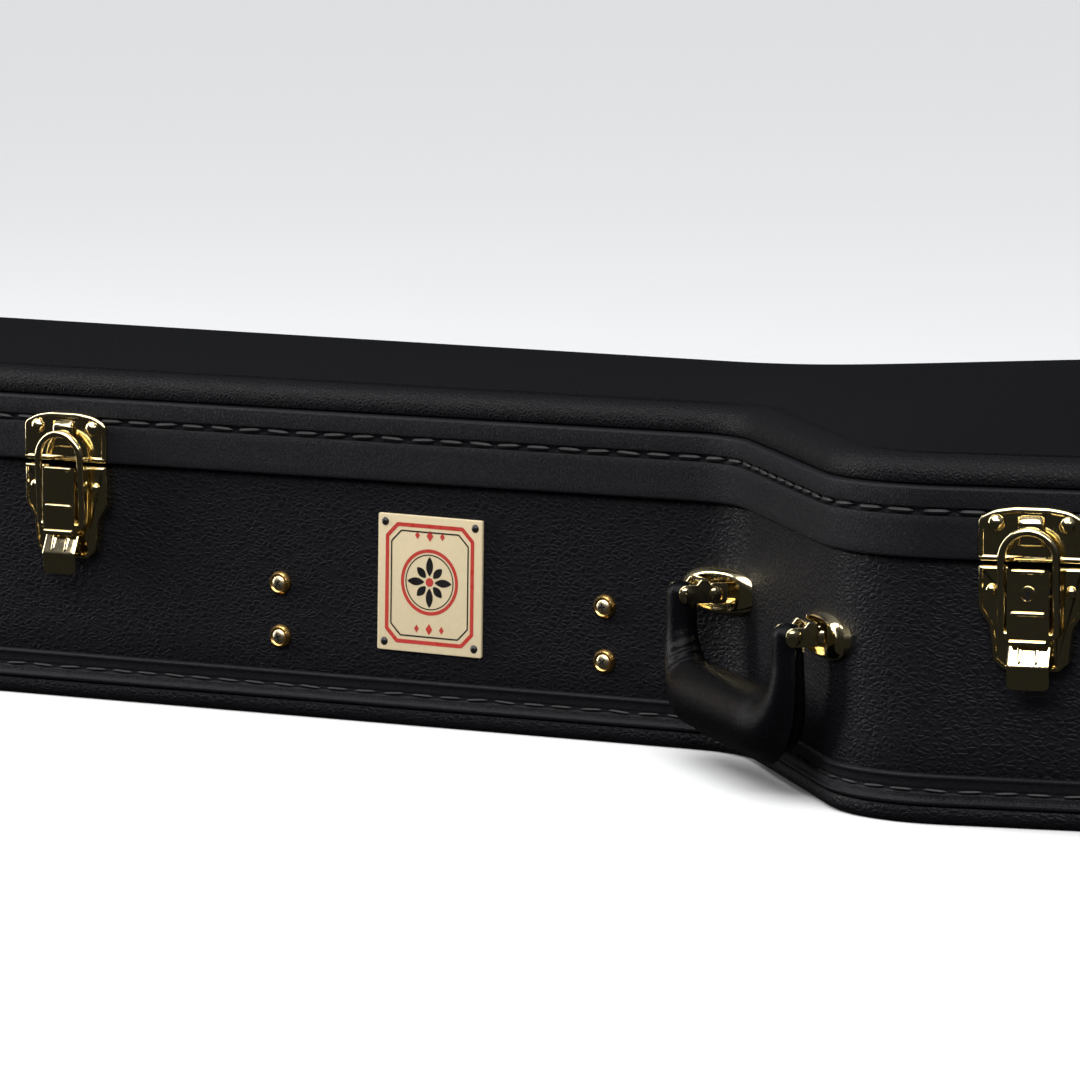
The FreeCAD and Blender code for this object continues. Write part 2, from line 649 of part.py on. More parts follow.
def hinge_line():
    """Tangent line to both bouts at the hinge distance: touch points and direction.

    The two rounded corners are circles; their outer tangent turns from the line of
    centres by the angle whose sine is the difference of radii over the distance.
    """
    corners = outline_corners(0)
    centres = []
    for index in (2, 4):
        point, radius = corners[index]
        before = (corners[index - 1][0] - point).normalize()
        after = (corners[index + 1][0] - point).normalize()
        half_angle = before.getAngle(after) / 2
        centres.append((point + (before + after).normalize() * (radius / math.sin(half_angle)), radius))
    (upper, upper_r), (lower, lower_r) = centres
    between = lower - upper
    turn = math.atan2(between.y, between.x) + math.asin((lower_r - upper_r) / between.Length)
    normal = Vector(-math.sin(turn), math.cos(turn), 0)
    out = size("hinge_out")
    return upper + normal * (upper_r + out), lower + normal * (lower_r + out), normal


def make_hinges(wall_block, band_block):
    """Three butt hinges on one line: one on the upper bout and two on the lower."""
    upper, lower, normal = hinge_line()
    height = UP * ((size("base_top") + size("lid_bottom")) / 2)
    along = (lower - upper).normalize()
    wide, knuckle = size("hinge_wide"), size("knuckle_radius")
    third = wide / 3
    base_leaves, lid_leaves, pins, base_rivets, lid_rivets = [], [], [], [], []
    for place, origin in enumerate((upper, lower - along * PAIR_SHIFT, lower + along * PAIR_SHIFT)):
        frame = upright(origin + height, normal)
        leaf = box(f"base_leaf_{place}", (-wide / 2, -22, -18), (wide / 2, -0.4, -LEAF_BACK), frame)
        leaf_cut = cut(f"base_leaf_cut_{place}", leaf, wall_block)
        web = box(f"base_web_{place}", (-wide / 2, -3, -6), (wide / 2, -0.4, 0), frame)
        roll = rod(f"base_roll_{place}", "sizes.knuckle_radius", (-wide / 2, 0, 0), (1, 0, 0), wide, frame)
        gap = box(f"base_gap_{place}", (-third / 2 - 0.3, -5, -4.6), (third / 2 + 0.3, 5, 5), frame)
        hole = rod(f"base_hole_{place}", "sizes.hinge_pin_radius", (-wide, 0, 0), (1, 0, 0), 2 * wide, frame)
        blank = fuse(f"base_hinge_blank_{place}", leaf_cut, web, roll)
        base_leaves.append(cut(f"base_hinge_{place}", blank, gap, hole))
        leaf = box(f"lid_leaf_{place}", (-wide / 2, 3.3, -16), (wide / 2, 20, -LID_LEAF_BACK), frame)
        leaf_cut = cut(f"lid_leaf_cut_{place}", leaf, band_block)
        web = box(f"lid_web_{place}", (-third / 2, 0, -3), (third / 2, 4.5, -1.2), frame)
        roll = rod(f"lid_roll_{place}", "sizes.knuckle_radius", (-third / 2, 0, 0), (1, 0, 0), third, frame)
        bore_radius = size("hinge_pin_radius") + size("running_gap")
        bore = rod(f"lid_bore_{place}", bore_radius, (-wide, 0, 0), (1, 0, 0), 2 * wide, frame)
        blank = fuse(f"lid_hinge_blank_{place}", leaf_cut, web, roll)
        lid_leaves.append(cut(f"lid_hinge_{place}", blank, bore))
        pins.append(rod(f"hinge_pin_{place}", "sizes.hinge_pin_radius", (-wide / 2, 0, 0), (1, 0, 0),
                        wide, frame))
        for side in (-1, 1):
            low, high = (side * 9, -14, -LEAF_BACK), (side * 9, 14, -LID_LEAF_BACK)
            base_rivets.append(dome(f"hinge_rivet_{place}_{side + 2}", *RIVET, low, frame))
            lid_rivets.append(dome(f"hinge_lid_rivet_{place}_{side + 2}", *RIVET, high, frame))
    keep(group("base_leaf_group", base_leaves), "hinge_base_leaves")
    keep(group("lid_leaf_group", lid_leaves), "hinge_lid_leaves")
    keep(group("hinge_pin_group", pins), "hinge_pins")
    keep(group("hinge_rivet_group", base_rivets), "hinge_base_rivets")
    keep(group("hinge_lid_rivet_group", lid_rivets), "hinge_lid_rivets")


# ---------------------------------------------------------------- pocket inside
FLAP_HINGE_Y = 36.0
FLAP_FRONT_Y = -41.0


def make_pocket(lining_in):
    """Accessory pocket under the neck: two notched walls, ledges and a hinged flap."""
    floor = size("panel_thick") + size("lining_thick")
    thick = size("pocket_wall_thick")
    wall_high = "sizes.pocket_wall_top - sizes.panel_thick - sizes.lining_thick"
    inside = slab("pocket_inside", lining_in, floor, wall_high)
    for label, alias in (("pocket_wall_head", "pocket_head_x"), ("pocket_wall_body", "pocket_body_x")):
        x = size(alias)
        top = size("pocket_wall_top")
        blank = box(label + "_blank", (x - thick / 2, -90, floor), (x + thick / 2, 90, top))
        fitted = common(label + "_fitted", blank, inside)
        half = size("notch_wide") / 2
        rest = size("neck_rest")
        bevel = 10
        notch = [(-half, 90), (-half, rest + bevel), (-half + bevel, rest), (half - bevel, rest)]
        notch += [(half, rest + bevel), (half, 90)]
        cutter = profile_solid(label + "_notch", notch, thick + 2, Placement(), "YZ", x - thick / 2 - 1)
        keep(cut(label + "_cut", fitted, cutter), label)
    start = size("pocket_head_x") + thick / 2
    end = size("pocket_body_x") - thick / 2
    low, flap_thick = size("flap_bottom"), size("flap_thick")
    ledge_inside = slab("ledge_inside", lining_in, floor, "sizes.flap_bottom + sizes.flap_thick")
    rear = box("rear_ledge_blank", (start, FLAP_HINGE_Y + 0.4, low - 8), (end, 80, low + flap_thick))
    front = box("front_ledge_blank", (start, -80, low - 8), (end, FLAP_FRONT_Y + 6, low))
    ledges = [common("rear_ledge", rear, ledge_inside), common("front_ledge", front, ledge_inside)]
    keep(group("ledge_group", ledges), "pocket_ledges")
    axis_y, axis_z = FLAP_HINGE_Y - flap_thick / 2, low + flap_thick / 2
    board = box("flap_board", (start + 0.6, FLAP_FRONT_Y + 0.6, low), (end - 0.6, axis_y, low + flap_thick))
    edge = rod("flap_edge", "sizes.flap_thick / 2", (start + 0.6, axis_y, axis_z), (1, 0, 0),
               end - start - 1.2)
    keep(fuse("flap_body", board, edge), "pocket_flap")
    middle = (start + end) / 2
    top = low + flap_thick
    strip = box("strip_blank", (start + 6, FLAP_HINGE_Y + 0.4, top), (end - 6, FLAP_HINGE_Y + 6.4, top + 0.8))
    keep(strip, "pocket_hinge_strip")
    tab = box("tab_blank", (middle - 9, FLAP_FRONT_Y + 3, top), (middle + 9, FLAP_FRONT_Y + 21, top + 1.6))
    keep(tab, "pocket_pull_tab")


# ---------------------------------------------------------------- small hardware on the wall
PLAQUE_AT = (-197.8, 54.7)  # along the case, and up
PLAQUE_LEAN = -0.9
SCREW_HEIGHTS = (30.6, 51.2)


def make_wall_hardware():
    """Plain plaque with its pins, and the four cup washers and screws of the pocket."""
    thick = size("plaque_thick")
    frame = wall_frame(*PLAQUE_AT).multiply(Placement(Vector(), Rotation(Vector(0, 0, 1), PLAQUE_LEAN)))
    half, tall = size("plaque_wide") / 2, size("plaque_high") / 2
    plaque = doc.addObject("Part::Box", "plaque_blank")
    bind(plaque, Length="sizes.plaque_wide", Width="sizes.plaque_high", Height="sizes.plaque_thick")
    plaque.Placement = frame.multiply(Placement(Vector(-half, -tall, 0), Rotation()))
    keep(plaque, "plaque")
    corners = [(x * (half - 3.2), y * (tall - 3.2), thick) for x in (-1, 1) for y in (-1, 1)]
    pins = [dome(f"plaque_pin_{n}", 1.6, 1.0, corner, frame) for n, corner in enumerate(corners)]
    keep(group("plaque_pin_group", pins), "plaque_pins")
    washers, screws = [], []
    spots = [(size(alias), z) for alias in ("pocket_head_x", "pocket_body_x") for z in SCREW_HEIGHTS]
    for n, spot in enumerate(spots):
        place = wall_frame(*spot)
        cup = doc.addObject("Part::Cone", f"cup_{n}")
        cup.Radius1, cup.Radius2, cup.Height = 4.75, 3.4, 2.0
        cup.Placement = place
        shank = rod(f"shank_{n}", 1.6, (0, 0, -24), (0, 0, 1), 25.4, place)
        seat = rod(f"cup_hole_{n}", 1.6, (0, 0, -1), (0, 0, 1), 4, place)
        sink = rod(f"cup_sink_{n}", 2.9, (0, 0, 1.2), (0, 0, 1), 2, place)
        washers.append(cut(f"cup_washer_{n}", cup, seat, sink))
        head = dome(f"screw_head_{n}", 2.9, 1.3, (0, 0, 1.2), place)
        screws.append(fuse(f"screw_{n}", shank, head))
    keep(group("washer_group", washers), "pocket_washers")
    keep(group("screw_group", screws), "pocket_screws")


# ---------------------------------------------------------------- assembly
wall_block = slab("wall_block", 0, -5, "sizes.base_top + 60")
band_block = slab("band_block", size("band_proud"), -5, "sizes.base_top + 60")
lining_face = make_base()
make_lid()
make_latches()
make_handle(wall_block)
make_hinges(wall_block, band_block)
make_pocket(lining_face)
make_wall_hardware()
doc.recompute()

for item in doc.Objects:
    if "Invalid" in item.State or "Error" in item.State:
        raise RuntimeError(f"{item.Name} failed: {item.State}")
for item in parts:
    if item.Shape.isNull() or not item.Shape.isValid():
        raise RuntimeError(f"{item.Label} has no valid shape")
    item.Shape.exportStep(f"parts/{item.Label}.step")
    print(f"{item.Label:24s} {len(item.Shape.Solids):3d} solids {item.Shape.Volume / 1000:10.2f} cm3")
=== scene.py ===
"""Guitar case: vinyl-covered shell, gold hardware, padded handle and plush inside.

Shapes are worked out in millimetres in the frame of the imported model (X from the
head end to the tail end, -Y the handle side, Z up) and turned to metres once, in
`piece`. Most are outlines pushed through a few rounded steps, or profiles carried
round the case's outline.
"""

import bmesh
import bpy
import numpy as np
from mathutils import Matrix


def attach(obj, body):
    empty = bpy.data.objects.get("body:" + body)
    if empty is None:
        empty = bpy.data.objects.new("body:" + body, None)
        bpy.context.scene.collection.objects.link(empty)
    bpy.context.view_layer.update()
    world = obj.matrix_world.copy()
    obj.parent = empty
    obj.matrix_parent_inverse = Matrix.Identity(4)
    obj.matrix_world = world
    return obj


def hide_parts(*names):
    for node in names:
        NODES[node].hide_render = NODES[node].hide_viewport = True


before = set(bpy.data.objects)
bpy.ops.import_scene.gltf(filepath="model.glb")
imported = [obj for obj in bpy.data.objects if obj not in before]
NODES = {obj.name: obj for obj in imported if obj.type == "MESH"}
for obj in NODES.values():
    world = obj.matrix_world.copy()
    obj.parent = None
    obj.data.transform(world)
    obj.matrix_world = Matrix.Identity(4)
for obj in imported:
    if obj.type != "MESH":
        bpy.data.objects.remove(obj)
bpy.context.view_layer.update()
MM = 0.001
rng = np.random.default_rng(7)


# ---------------------------------------------------------------- materials
def linear(code):
    """Linear RGBA from an sRGB hex code."""
    channels = np.array([int(code[i:i + 2], 16) for i in (1, 3, 5)]) / 255
    low, high = channels / 12.92, ((channels + 0.055) / 1.055) ** 2.4
    return (*np.where(channels <= 0.04045, low, high), 1.0)


def add(tree, kind, settings=None, values=None, links=None):
    """Adds one node with its settings, socket values and links."""
    made = tree.nodes.new(kind)
    for name, value in (settings or {}).items():
        setattr(made, name, value)
    for name, value in (values or {}).items():
        made.inputs[name].default_value = value
    for name, source in (links or {}).items():
        tree.links.new(source, made.inputs[name])
    return made


def new_material(name):
    """Empty node material; gives it, its tree and the object coordinates."""
    made = bpy.data.materials.new(name)
    made.use_nodes = True
    tree = made.node_tree
    tree.nodes.clear()
    return made, tree, add(tree, "ShaderNodeTexCoord").outputs["Object"]


def toned(tree, colours, share):
    """Colour that wanders between two tones."""
    return add(tree, "ShaderNodeMix", {"data_type": "RGBA"}, {6: linear(colours[0]), 7: linear(colours[1])},
               {0: share.outputs["Fac"]}).outputs[2]


def surfaced(tree, values, links=None):
    """Ends a material: one surface with its values and links, joined to the output."""
    body = add(tree, "ShaderNodeBsdfPrincipled", values=values, links=links)
    add(tree, "ShaderNodeOutputMaterial", links={"Surface": body.outputs[0]})


def embossed_vinyl(name, colours, grain, roughness, relief, stretch=(1.0, 1.0, 1.0), ripple=0.3,
                   specular=0.5):
    """Calendered PVC cloth pressed with a leather grain.

    Pebbles are Voronoi cells of the grain's size in mm, pushed about by noise so
    that they wander; the distance to a cell's edge gives the crown of each pebble.
    """
    made, tree, place = new_material(name)
    laid = add(tree, "ShaderNodeMapping", values={"Scale": stretch}, links={"Vector": place}).outputs[0]
    wander = add(tree, "ShaderNodeTexNoise", values={"Scale": 0.6 / (grain * MM), "Detail": 2.0},
                 links={"Vector": laid})
    pull = add(tree, "ShaderNodeVectorMath", {"operation": "SCALE"}, {"Scale": grain * MM * 1.3},
               {0: wander.outputs["Color"]})
    moved = add(tree, "ShaderNodeVectorMath", {"operation": "ADD"}, links={0: laid, 1: pull.outputs[0]})
    cells = add(tree, "ShaderNodeTexVoronoi", {"feature": "DISTANCE_TO_EDGE"}, {"Scale": 1 / (grain * MM)},
                {"Vector": moved.outputs[0]})
    crown = add(tree, "ShaderNodeMapRange", {"interpolation_type": "SMOOTHSTEP"}, {"From Max": 0.32},
                {"Value": cells.outputs["Distance"]})
    pores = add(tree, "ShaderNodeTexNoise", values={"Scale": 3.2 / (grain * MM), "Detail": 3.0},
                links={"Vector": laid})
    height = add(tree, "ShaderNodeMath", {"operation": "MULTIPLY_ADD"}, {1: 0.35},
                 {0: pores.outputs["Fac"], 2: crown.outputs["Result"]})
    slack = add(tree, "ShaderNodeTexNoise", values={"Scale": 28.0, "Detail": 2.0}, links={"Vector": place})
    soft = add(tree, "ShaderNodeBump", values={"Strength": ripple, "Distance": 1.2 * MM},
               links={"Height": slack.outputs["Fac"]})
    bump = add(tree, "ShaderNodeBump", values={"Strength": 0.9, "Distance": relief * MM},
               links={"Height": height.outputs[0], "Normal": soft.outputs[0]})
    wear = add(tree, "ShaderNodeTexNoise", values={"Scale": 9.0, "Detail": 4.0}, links={"Vector": place})
    gloss = add(tree, "ShaderNodeMapRange", values={"To Min": roughness + 0.12, "To Max": roughness - 0.04},
                links={"Value": crown.outputs["Result"]})
    surfaced(tree, {"IOR": 1.5, "Specular IOR Level": specular},
             {"Base Color": toned(tree, colours, wear), "Roughness": gloss.outputs["Result"],
              "Normal": bump.outputs[0]})
    return made


def plated_metal(name, colours, roughness, wave=0.25, metallic=1.0):
    """Pressed steel, polished and plated: a faint press ripple and soft wear in the gloss."""
    made, tree, place = new_material(name)
    press = add(tree, "ShaderNodeTexNoise", values={"Scale": 160.0, "Detail": 1.0}, links={"Vector": place})
    bump = add(tree, "ShaderNodeBump", values={"Strength": wave, "Distance": 0.12 * MM},
               links={"Height": press.outputs["Fac"]})
    wear = add(tree, "ShaderNodeTexNoise", values={"Scale": 420.0, "Detail": 5.0}, links={"Vector": place})
    gloss = add(tree, "ShaderNodeMapRange", values={"From Min": 0.35, "From Max": 0.75, "To Min": roughness,
                                                    "To Max": roughness + 0.1},
                links={"Value": wear.outputs["Fac"]})
    surfaced(tree, {"Metallic": metallic}, {"Base Color": toned(tree, colours, wear),
                                            "Roughness": gloss.outputs["Result"], "Normal": bump.outputs[0]})
    return made


def fibre_material(name, colours, scale, relief, sheen, roughness):
    """Cloth with a short pile or a twisted thread: fine noise for the fibres, sheen for their tips."""
    made, tree, place = new_material(name)
    pile = add(tree, "ShaderNodeTexNoise", values={"Scale": scale, "Detail": 4.0}, links={"Vector": place})
    lie = add(tree, "ShaderNodeTexNoise", values={"Scale": 22.0, "Detail": 2.0}, links={"Vector": place})
    bump = add(tree, "ShaderNodeBump", values={"Strength": 0.8, "Distance": relief * MM},
               links={"Height": pile.outputs["Fac"]})
    surfaced(tree, {"Roughness": roughness, "Sheen Weight": sheen, "Sheen Roughness": 0.35},
             {"Base Color": toned(tree, colours, lie), "Normal": bump.outputs[0]})
    return made


# embossed vinyl over plywood, its pebbles drawn out along the wall
PEBBLE = embossed_vinyl("pebble_vinyl", ("#09090d", "#0c0c12"), grain=1.8, roughness=0.46, relief=0.2,
                        stretch=(0.6, 0.6, 1.0), specular=0.17)
# the rolled edge is stretched over its core, so its pebbles are smaller and flatter
ROLL = embossed_vinyl("stretched_pebble_vinyl", ("#08080a", "#0b0b0e"), grain=1.35, roughness=0.42,
                      relief=0.14, stretch=(0.8, 0.8, 0.8), specular=0.12)
# the top sheet is a finer, duller pressing
TOP = embossed_vinyl("fine_grain_vinyl", ("#09090c", "#0d0d11"), grain=0.9, roughness=0.62, relief=0.12,
                     specular=0.08)
# the band is smoother, with a grain drawn out upwards
BAND = embossed_vinyl("band_vinyl", ("#0d0d11", "#131318"), grain=0.8, roughness=0.44, relief=0.1,
                      stretch=(1.5, 1.5, 0.45), ripple=0.2, specular=0.19)
# leather-look handle cover: close, shallow grain and a soft gloss
LEATHER = embossed_vinyl("handle_leatherette", ("#050506", "#07070a"), grain=0.7, roughness=0.24, relief=0.04,
                         specular=0.1)
# bonded polyester thread, waxed black
THREAD = fibre_material("waxed_thread", ("#050506", "#0a0a0b"), 2400.0, 0.1, 0.0, 0.55)
# black plush, 2 mm pile: dark between the fibres and grey where their tips catch light
PLUSH = fibre_material("black_plush", ("#070708", "#0d0d10"), 900.0, 0.7, 0.8, 0.95)
# black-stained poplar plywood edge
PLY = fibre_material("stained_plywood", ("#0d0b0a", "#1b1613"), 260.0, 0.08, 0.0, 0.6)
# flash gold over polished nickel, for the pressed hardware
GOLD = plated_metal("gold_plated_steel", ("#efe0b6", "#e7d4a2"), 0.07)
# spun brass washers and gilt screws are less polished
BRASS = plated_metal("brass_cup", ("#e8c07a", "#dcae62"), 0.2)
STEEL = plated_metal("gilt_screw", ("#efdfba", "#e2d0a4"), 0.3)
# satin anodising scatters light, so the plate reads as pale from every side
CHAMPAGNE = plated_metal("satin_anodised_aluminium", ("#e9d8b4", "#e0cca2"), 0.4, wave=0.05, metallic=0.35)
# baked enamel on the plaque, and the blackened steel of its pins; the same black is also used as painted
# shade in the keyway and the screw recesses
RED = embossed_vinyl("red_enamel", ("#a02a22", "#b03228"), grain=6.0, roughness=0.3, relief=0.01, ripple=0.0)
BLACK_ENAMEL_AND_PAINTED_SHADE = embossed_vinyl("black_enamel", ("#141212", "#191616"), grain=6.0, roughness=0.32, relief=0.01,
                     ripple=0.0)


# ---------------------------------------------------------------- grids, prisms and turned shapes
def quads(rows, columns, wrap_rows=False, wrap_columns=False):
    """Corner numbers of the faces between neighbouring points of a grid."""
    r, c = np.meshgrid(np.arange(rows - (not wrap_rows)), np.arange(columns - (not wrap_columns)),
                       indexing="ij")
    r1, c1 = (r + 1) % rows, (c + 1) % columns
    corners = [r * columns + c, r * columns + c1, r1 * columns + c1, r1 * columns + c]
    return np.stack(corners, -1).reshape(-1, 4)


def unit(vectors):
    """Vectors of length one."""
    vectors = np.asarray(vectors, float)
    return vectors / np.linalg.norm(vectors, axis=-1, keepdims=True)


def grid(points, wrap_rows=False, wrap_columns=False):
    """Shape (points, faces) of a grid of points; ends that meet in one point are merged later."""
    rows, columns = points.shape[:2]
    return points.reshape(-1, 3), quads(rows, columns, wrap_rows, wrap_columns).tolist()


def circle(sides):
    """Points of a circle of radius one."""
    angle = np.linspace(0, 2 * np.pi, sides, endpoint=False)
    return np.stack([np.cos(angle), np.sin(angle)], -1)


def lifted(rings):
    """Grid points of outlines, each lifted to its height."""
    return np.stack([np.column_stack([ring, np.full(len(ring), height)]) for ring, height in rings])


def spaced(path, count):
    """Path in equal steps; gives its points and their distances from the start."""
    reach = np.concatenate([[0], np.cumsum(np.linalg.norm(np.diff(path, axis=0), axis=1))])
    along = np.linspace(0, reach[-1], count)
    return np.stack([np.interp(along, reach, path[:, i]) for i in (0, 1)], -1), along


def joined(shapes):
    """Several shapes as one."""
    points, faces, first = [], [], 0
    for corners, polygons in shapes:
        points.append(corners)
        faces += [[first + i for i in polygon] for polygon in polygons]
        first += len(corners)
    return np.concatenate(points), faces


def arc(corner, back, ahead, radius, turn):
    """Centre and rays of the arc that touches both sides of a corner, in steps of at most turn degrees.

    The arc starts radius / tan(half the corner's angle) from the corner.
    """
    half = np.arccos(np.clip(back @ ahead, -1, 1)) / 2
    centre = corner + unit(back + ahead) * radius / np.sin(half)
    arms = np.stack([back, ahead]) * radius / np.tan(half) + corner - centre
    sweep = np.pi - 2 * half
    share = np.linspace(0, 1, max(int(np.ceil(np.degrees(sweep) / turn)), 1) + 1)[:, None]
    return centre, (arms[0] * np.sin((1 - share) * sweep) + arms[1] * np.sin(share * sweep)) / np.sin(sweep)


def rounded(corners, radii, turn=12.0, closed=True):
    """Outline with each corner replaced by an arc. An open path keeps its two ends."""
    at = np.asarray(corners, float)
    radii = np.broadcast_to(np.asarray(radii, float), len(at))
    out = []
    for i, point in enumerate(at):
        back, ahead = unit(at[i - 1] - point), unit(at[(i + 1) % len(at)] - point)
        straight = np.arccos(np.clip(back @ ahead, -1, 1)) > 3.12
        if radii[i] <= 0 or straight or (not closed and i in (0, len(at) - 1)):
            out.append(point[None])
        else:
            centre, rays = arc(point, back, ahead, radii[i], turn)
            out.append(centre + rays)
    return np.concatenate(out)


def inset(outline, amount):
    """Closed outline moved inwards: each point goes along the mitre of its two sides' normals."""
    before = unit(outline - np.roll(outline, 1, 0))
    after = unit(np.roll(outline, -1, 0) - outline)
    normals = [np.stack([side[:, 1], -side[:, 0]], -1) for side in (before, after)]
    area = np.sum(outline[:, 0] * np.roll(outline[:, 1], -1) - np.roll(outline[:, 0], -1) * outline[:, 1])
    share = 1 + (normals[0] * normals[1]).sum(-1, keepdims=True)
    return outline - np.sign(area) * (normals[0] + normals[1]) * amount / np.maximum(share, 0.35)


def pressed(outline, steps):
    """Shape from one outline pushed through steps (height, inset), closed by a flat face at each end."""
    rings = [(inset(outline, move) if move else outline, height) for height, move in steps]
    points, faces = grid(lifted(rings), wrap_columns=True)
    count = len(outline)
    last = count * (len(steps) - 1)
    return points, faces + [list(range(count))[::-1], list(range(last, last + count))]


def slab_steps(low, high, rim):
    """Steps of a flat piece between two heights with quarter-round rims of that radius."""
    angles = np.linspace(0, np.pi / 2, 4)
    first = [(low + rim * (1 - np.sin(a)), rim * (1 - np.cos(a))) for a in angles[::-1]]
    return first + [(high + low - height, move) for height, move in first[::-1]]


def turned(profile, sides=28):
    """Solid of revolution about the local Z axis from (radius, height) points."""
    profile = np.asarray(profile, float)
    high = np.repeat(profile[:, None, 1:], sides, 1)
    return grid(np.concatenate([profile[:, None, :1] * circle(sides), high], -1), wrap_columns=True)


def cap(radius, height, base=0.0):
    """Rivet head: a spherical cap on a short skirt, closed underneath."""
    ball = (radius ** 2 + height ** 2) / (2 * height)
    angle = np.linspace(np.arcsin(radius / ball), 0, 7)
    dome = np.column_stack([ball * np.sin(angle), base + ball * np.cos(angle) - ball + height])
    return turned(np.vstack([[(0, base - 0.6), (radius, base - 0.6)], dome]))


def carried(path, section):
    """Section (across, out) carried along a path of points.

    The path's frame starts level, or along X where the path is upright, and is turned
    as little as possible from point to point; section has one outline for each point.
    """
    path = np.asarray(path, float)
    along = unit(np.gradient(path, axis=0))
    side = np.cross(along[0], (0.0, 0.0, 1.0))
    if np.linalg.norm(side) < 0.1:
        side = np.array((1.0, 0.0, 0.0))
    sides = []
    for step in along:
        side = unit(side - step * (side @ step))
        sides.append(side)
    sides = np.array(sides)
    ups = np.cross(along, sides)
    rings = path[:, None] + sides[:, None] * section[..., :1] + ups[:, None] * section[..., 1:]
    rings = np.concatenate([np.broadcast_to(path[:1, None], rings[:1].shape), rings,
                            np.broadcast_to(path[-1:, None], rings[:1].shape)])
    return grid(rings, wrap_columns=True)


def wire(path, radius, sides=12):
    """Round wire along a path; radius may change from point to point."""
    return carried(path, np.broadcast_to(radius, len(path))[:, None, None] * circle(sides))


def strip(path, half_widths, thick, sides=24):
    """Metal strip along a path in the local YZ plane: a flat section with rounded edges, across X."""
    path = np.asarray(path, float)
    along = unit(np.gradient(path, axis=0))
    out = np.stack([-along[:, 1], along[:, 0]], -1)
    angle = np.linspace(0, 2 * np.pi, sides, endpoint=False)
    across = np.sign(np.cos(angle)) * np.abs(np.cos(angle)) ** 0.25
    lift = np.sign(np.sin(angle)) * np.abs(np.sin(angle)) ** 0.6 * thick / 2
    rings = np.empty((len(path), sides, 3))
    rings[..., 0] = np.asarray(half_widths)[:, None] * across
    rings[..., 1:] = path[:, None] + out[:, None] * lift[None, :, None]
    middle = np.insert(path, 0, 0, axis=1)
    ends = [np.broadcast_to(middle[i], (1, sides, 3)) for i in (0, -1)]
    return grid(np.concatenate([ends[0], rings, ends[1]]), wrap_columns=True)


def crosswise(shape):
    """Shape turned so that its own Z runs along the local X and its X along the local Y."""
    points, faces = shape
    return points[:, [2, 0, 1]], faces


def placed(shape, place):
    """Shape moved from a local frame (origin, x, y, z) to the case's frame."""
    points, faces = shape
    origin, x, y, z = [np.asarray(v, float) for v in place]
    return origin + points @ np.stack([x, y, z]), faces


def local(shape, x=0.0, y=0.0, z=0.0):
    """Shape moved within its own frame."""
    return shape[0] + np.array([x, y, z]), shape[1]


def piece(name, shapes, material, body, replaces=(), sharp=38.0):
    """Mesh object from shapes in mm: doubles merged, faces outwards, sharp edges kept, riding on a body."""
    points, faces = joined(shapes)
    mesh = bpy.data.meshes.new(name)
    mesh.from_pydata((points * MM).tolist(), [], faces)
    build = bmesh.new()
    build.from_mesh(mesh)
    bmesh.ops.remove_doubles(build, verts=build.verts, dist=0.02 * MM)
    bmesh.ops.recalc_face_normals(build, faces=build.faces)
    build.to_mesh(mesh)
    build.free()
    mesh.shade_smooth()
    mesh.set_sharp_from_angle(angle=np.radians(sharp))
    mesh.materials.append(material)
    made = bpy.data.objects.new(name, mesh)
    bpy.context.scene.collection.objects.link(made)
    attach(made, body)
    if replaces:
        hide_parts(*replaces)
    return made


# ---------------------------------------------------------------- the case's outline
HEAD_X, TAIL_X = -512, 512
# corners of one long side (x, y, radius; hollow corners are negative), from the head end to the tail end
CORNERS = [(HEAD_X, 75.2, 30), (-64.8, 53.8, -44), (49.9, 168.5, 56), (192.7, 128.4, -120),
           (TAIL_X, 328.6, 150)]


def case_outline(step=6.0, turn=4.0):
    """Points and outward normals of the wall, clockwise from above: straight runs joined by tangent arcs.

    A corner with a negative radius is hollow, so its normal points to the centre.
    """
    ring = CORNERS + [(x, -y, radius) for x, y, radius in reversed(CORNERS)]
    at = np.array([corner[:2] for corner in ring], float)
    points, normals = [], []
    for i, (_, _, radius) in enumerate(ring):
        back, ahead = unit(at[i - 1] - at[i]), unit(at[(i + 1) % len(at)] - at[i])
        centre, rays = arc(at[i], back, ahead, abs(radius), turn)
        points.append(centre + rays)
        normals.append(rays / radius)
    full, full_normals = [], []
    for i in range(len(ring)):
        start = points[i][-1]
        run = points[(i + 1) % len(ring)][0] - start
        count = max(int(np.linalg.norm(run) / step), 1)
        share = (np.arange(1, count) / count)[:, None]
        full += [points[i], start + run * share]
        full_normals += [normals[i], np.repeat(normals[i][-1:], len(share), 0)]
    return np.concatenate(full), np.concatenate(full_normals)


WALL, OUTWARD = case_outline()
RUN = np.concatenate([[0], np.cumsum(np.linalg.norm(np.diff(WALL, axis=0, append=WALL[:1]), axis=1))])
FINE_WALL, FINE_OUTWARD = case_outline(1.0, 0.5)
HANDLE_SIDE = (FINE_WALL[:, 1] < 0) & (np.abs(FINE_WALL[:, 0]) < TAIL_X - 0.1)
ORDER = np.argsort(FINE_WALL[HANDLE_SIDE][:, 0])
SIDE_WALL = FINE_WALL[HANDLE_SIDE][ORDER]
SIDE_OUT = FINE_OUTWARD[HANDLE_SIDE][ORDER]


def wall_point(x):
    """Point and outward normal of the handle-side wall at x."""
    y, nx, ny = [np.interp(x, SIDE_WALL[:, 0], values)
                 for values in (SIDE_WALL[:, 1], SIDE_OUT[:, 0], SIDE_OUT[:, 1])]
    return np.array([x, y]), unit((nx, ny))


def upright(point, normal, height):
    """Frame on a wall: x along the wall, y up, z outwards."""
    nx, ny = normal
    return (point[0], point[1], height), (-ny, nx, 0), (0, 0, 1), (nx, ny, 0)


def wall_frame(x, height):
    """Frame on the handle-side wall."""
    return upright(*wall_point(x), height)


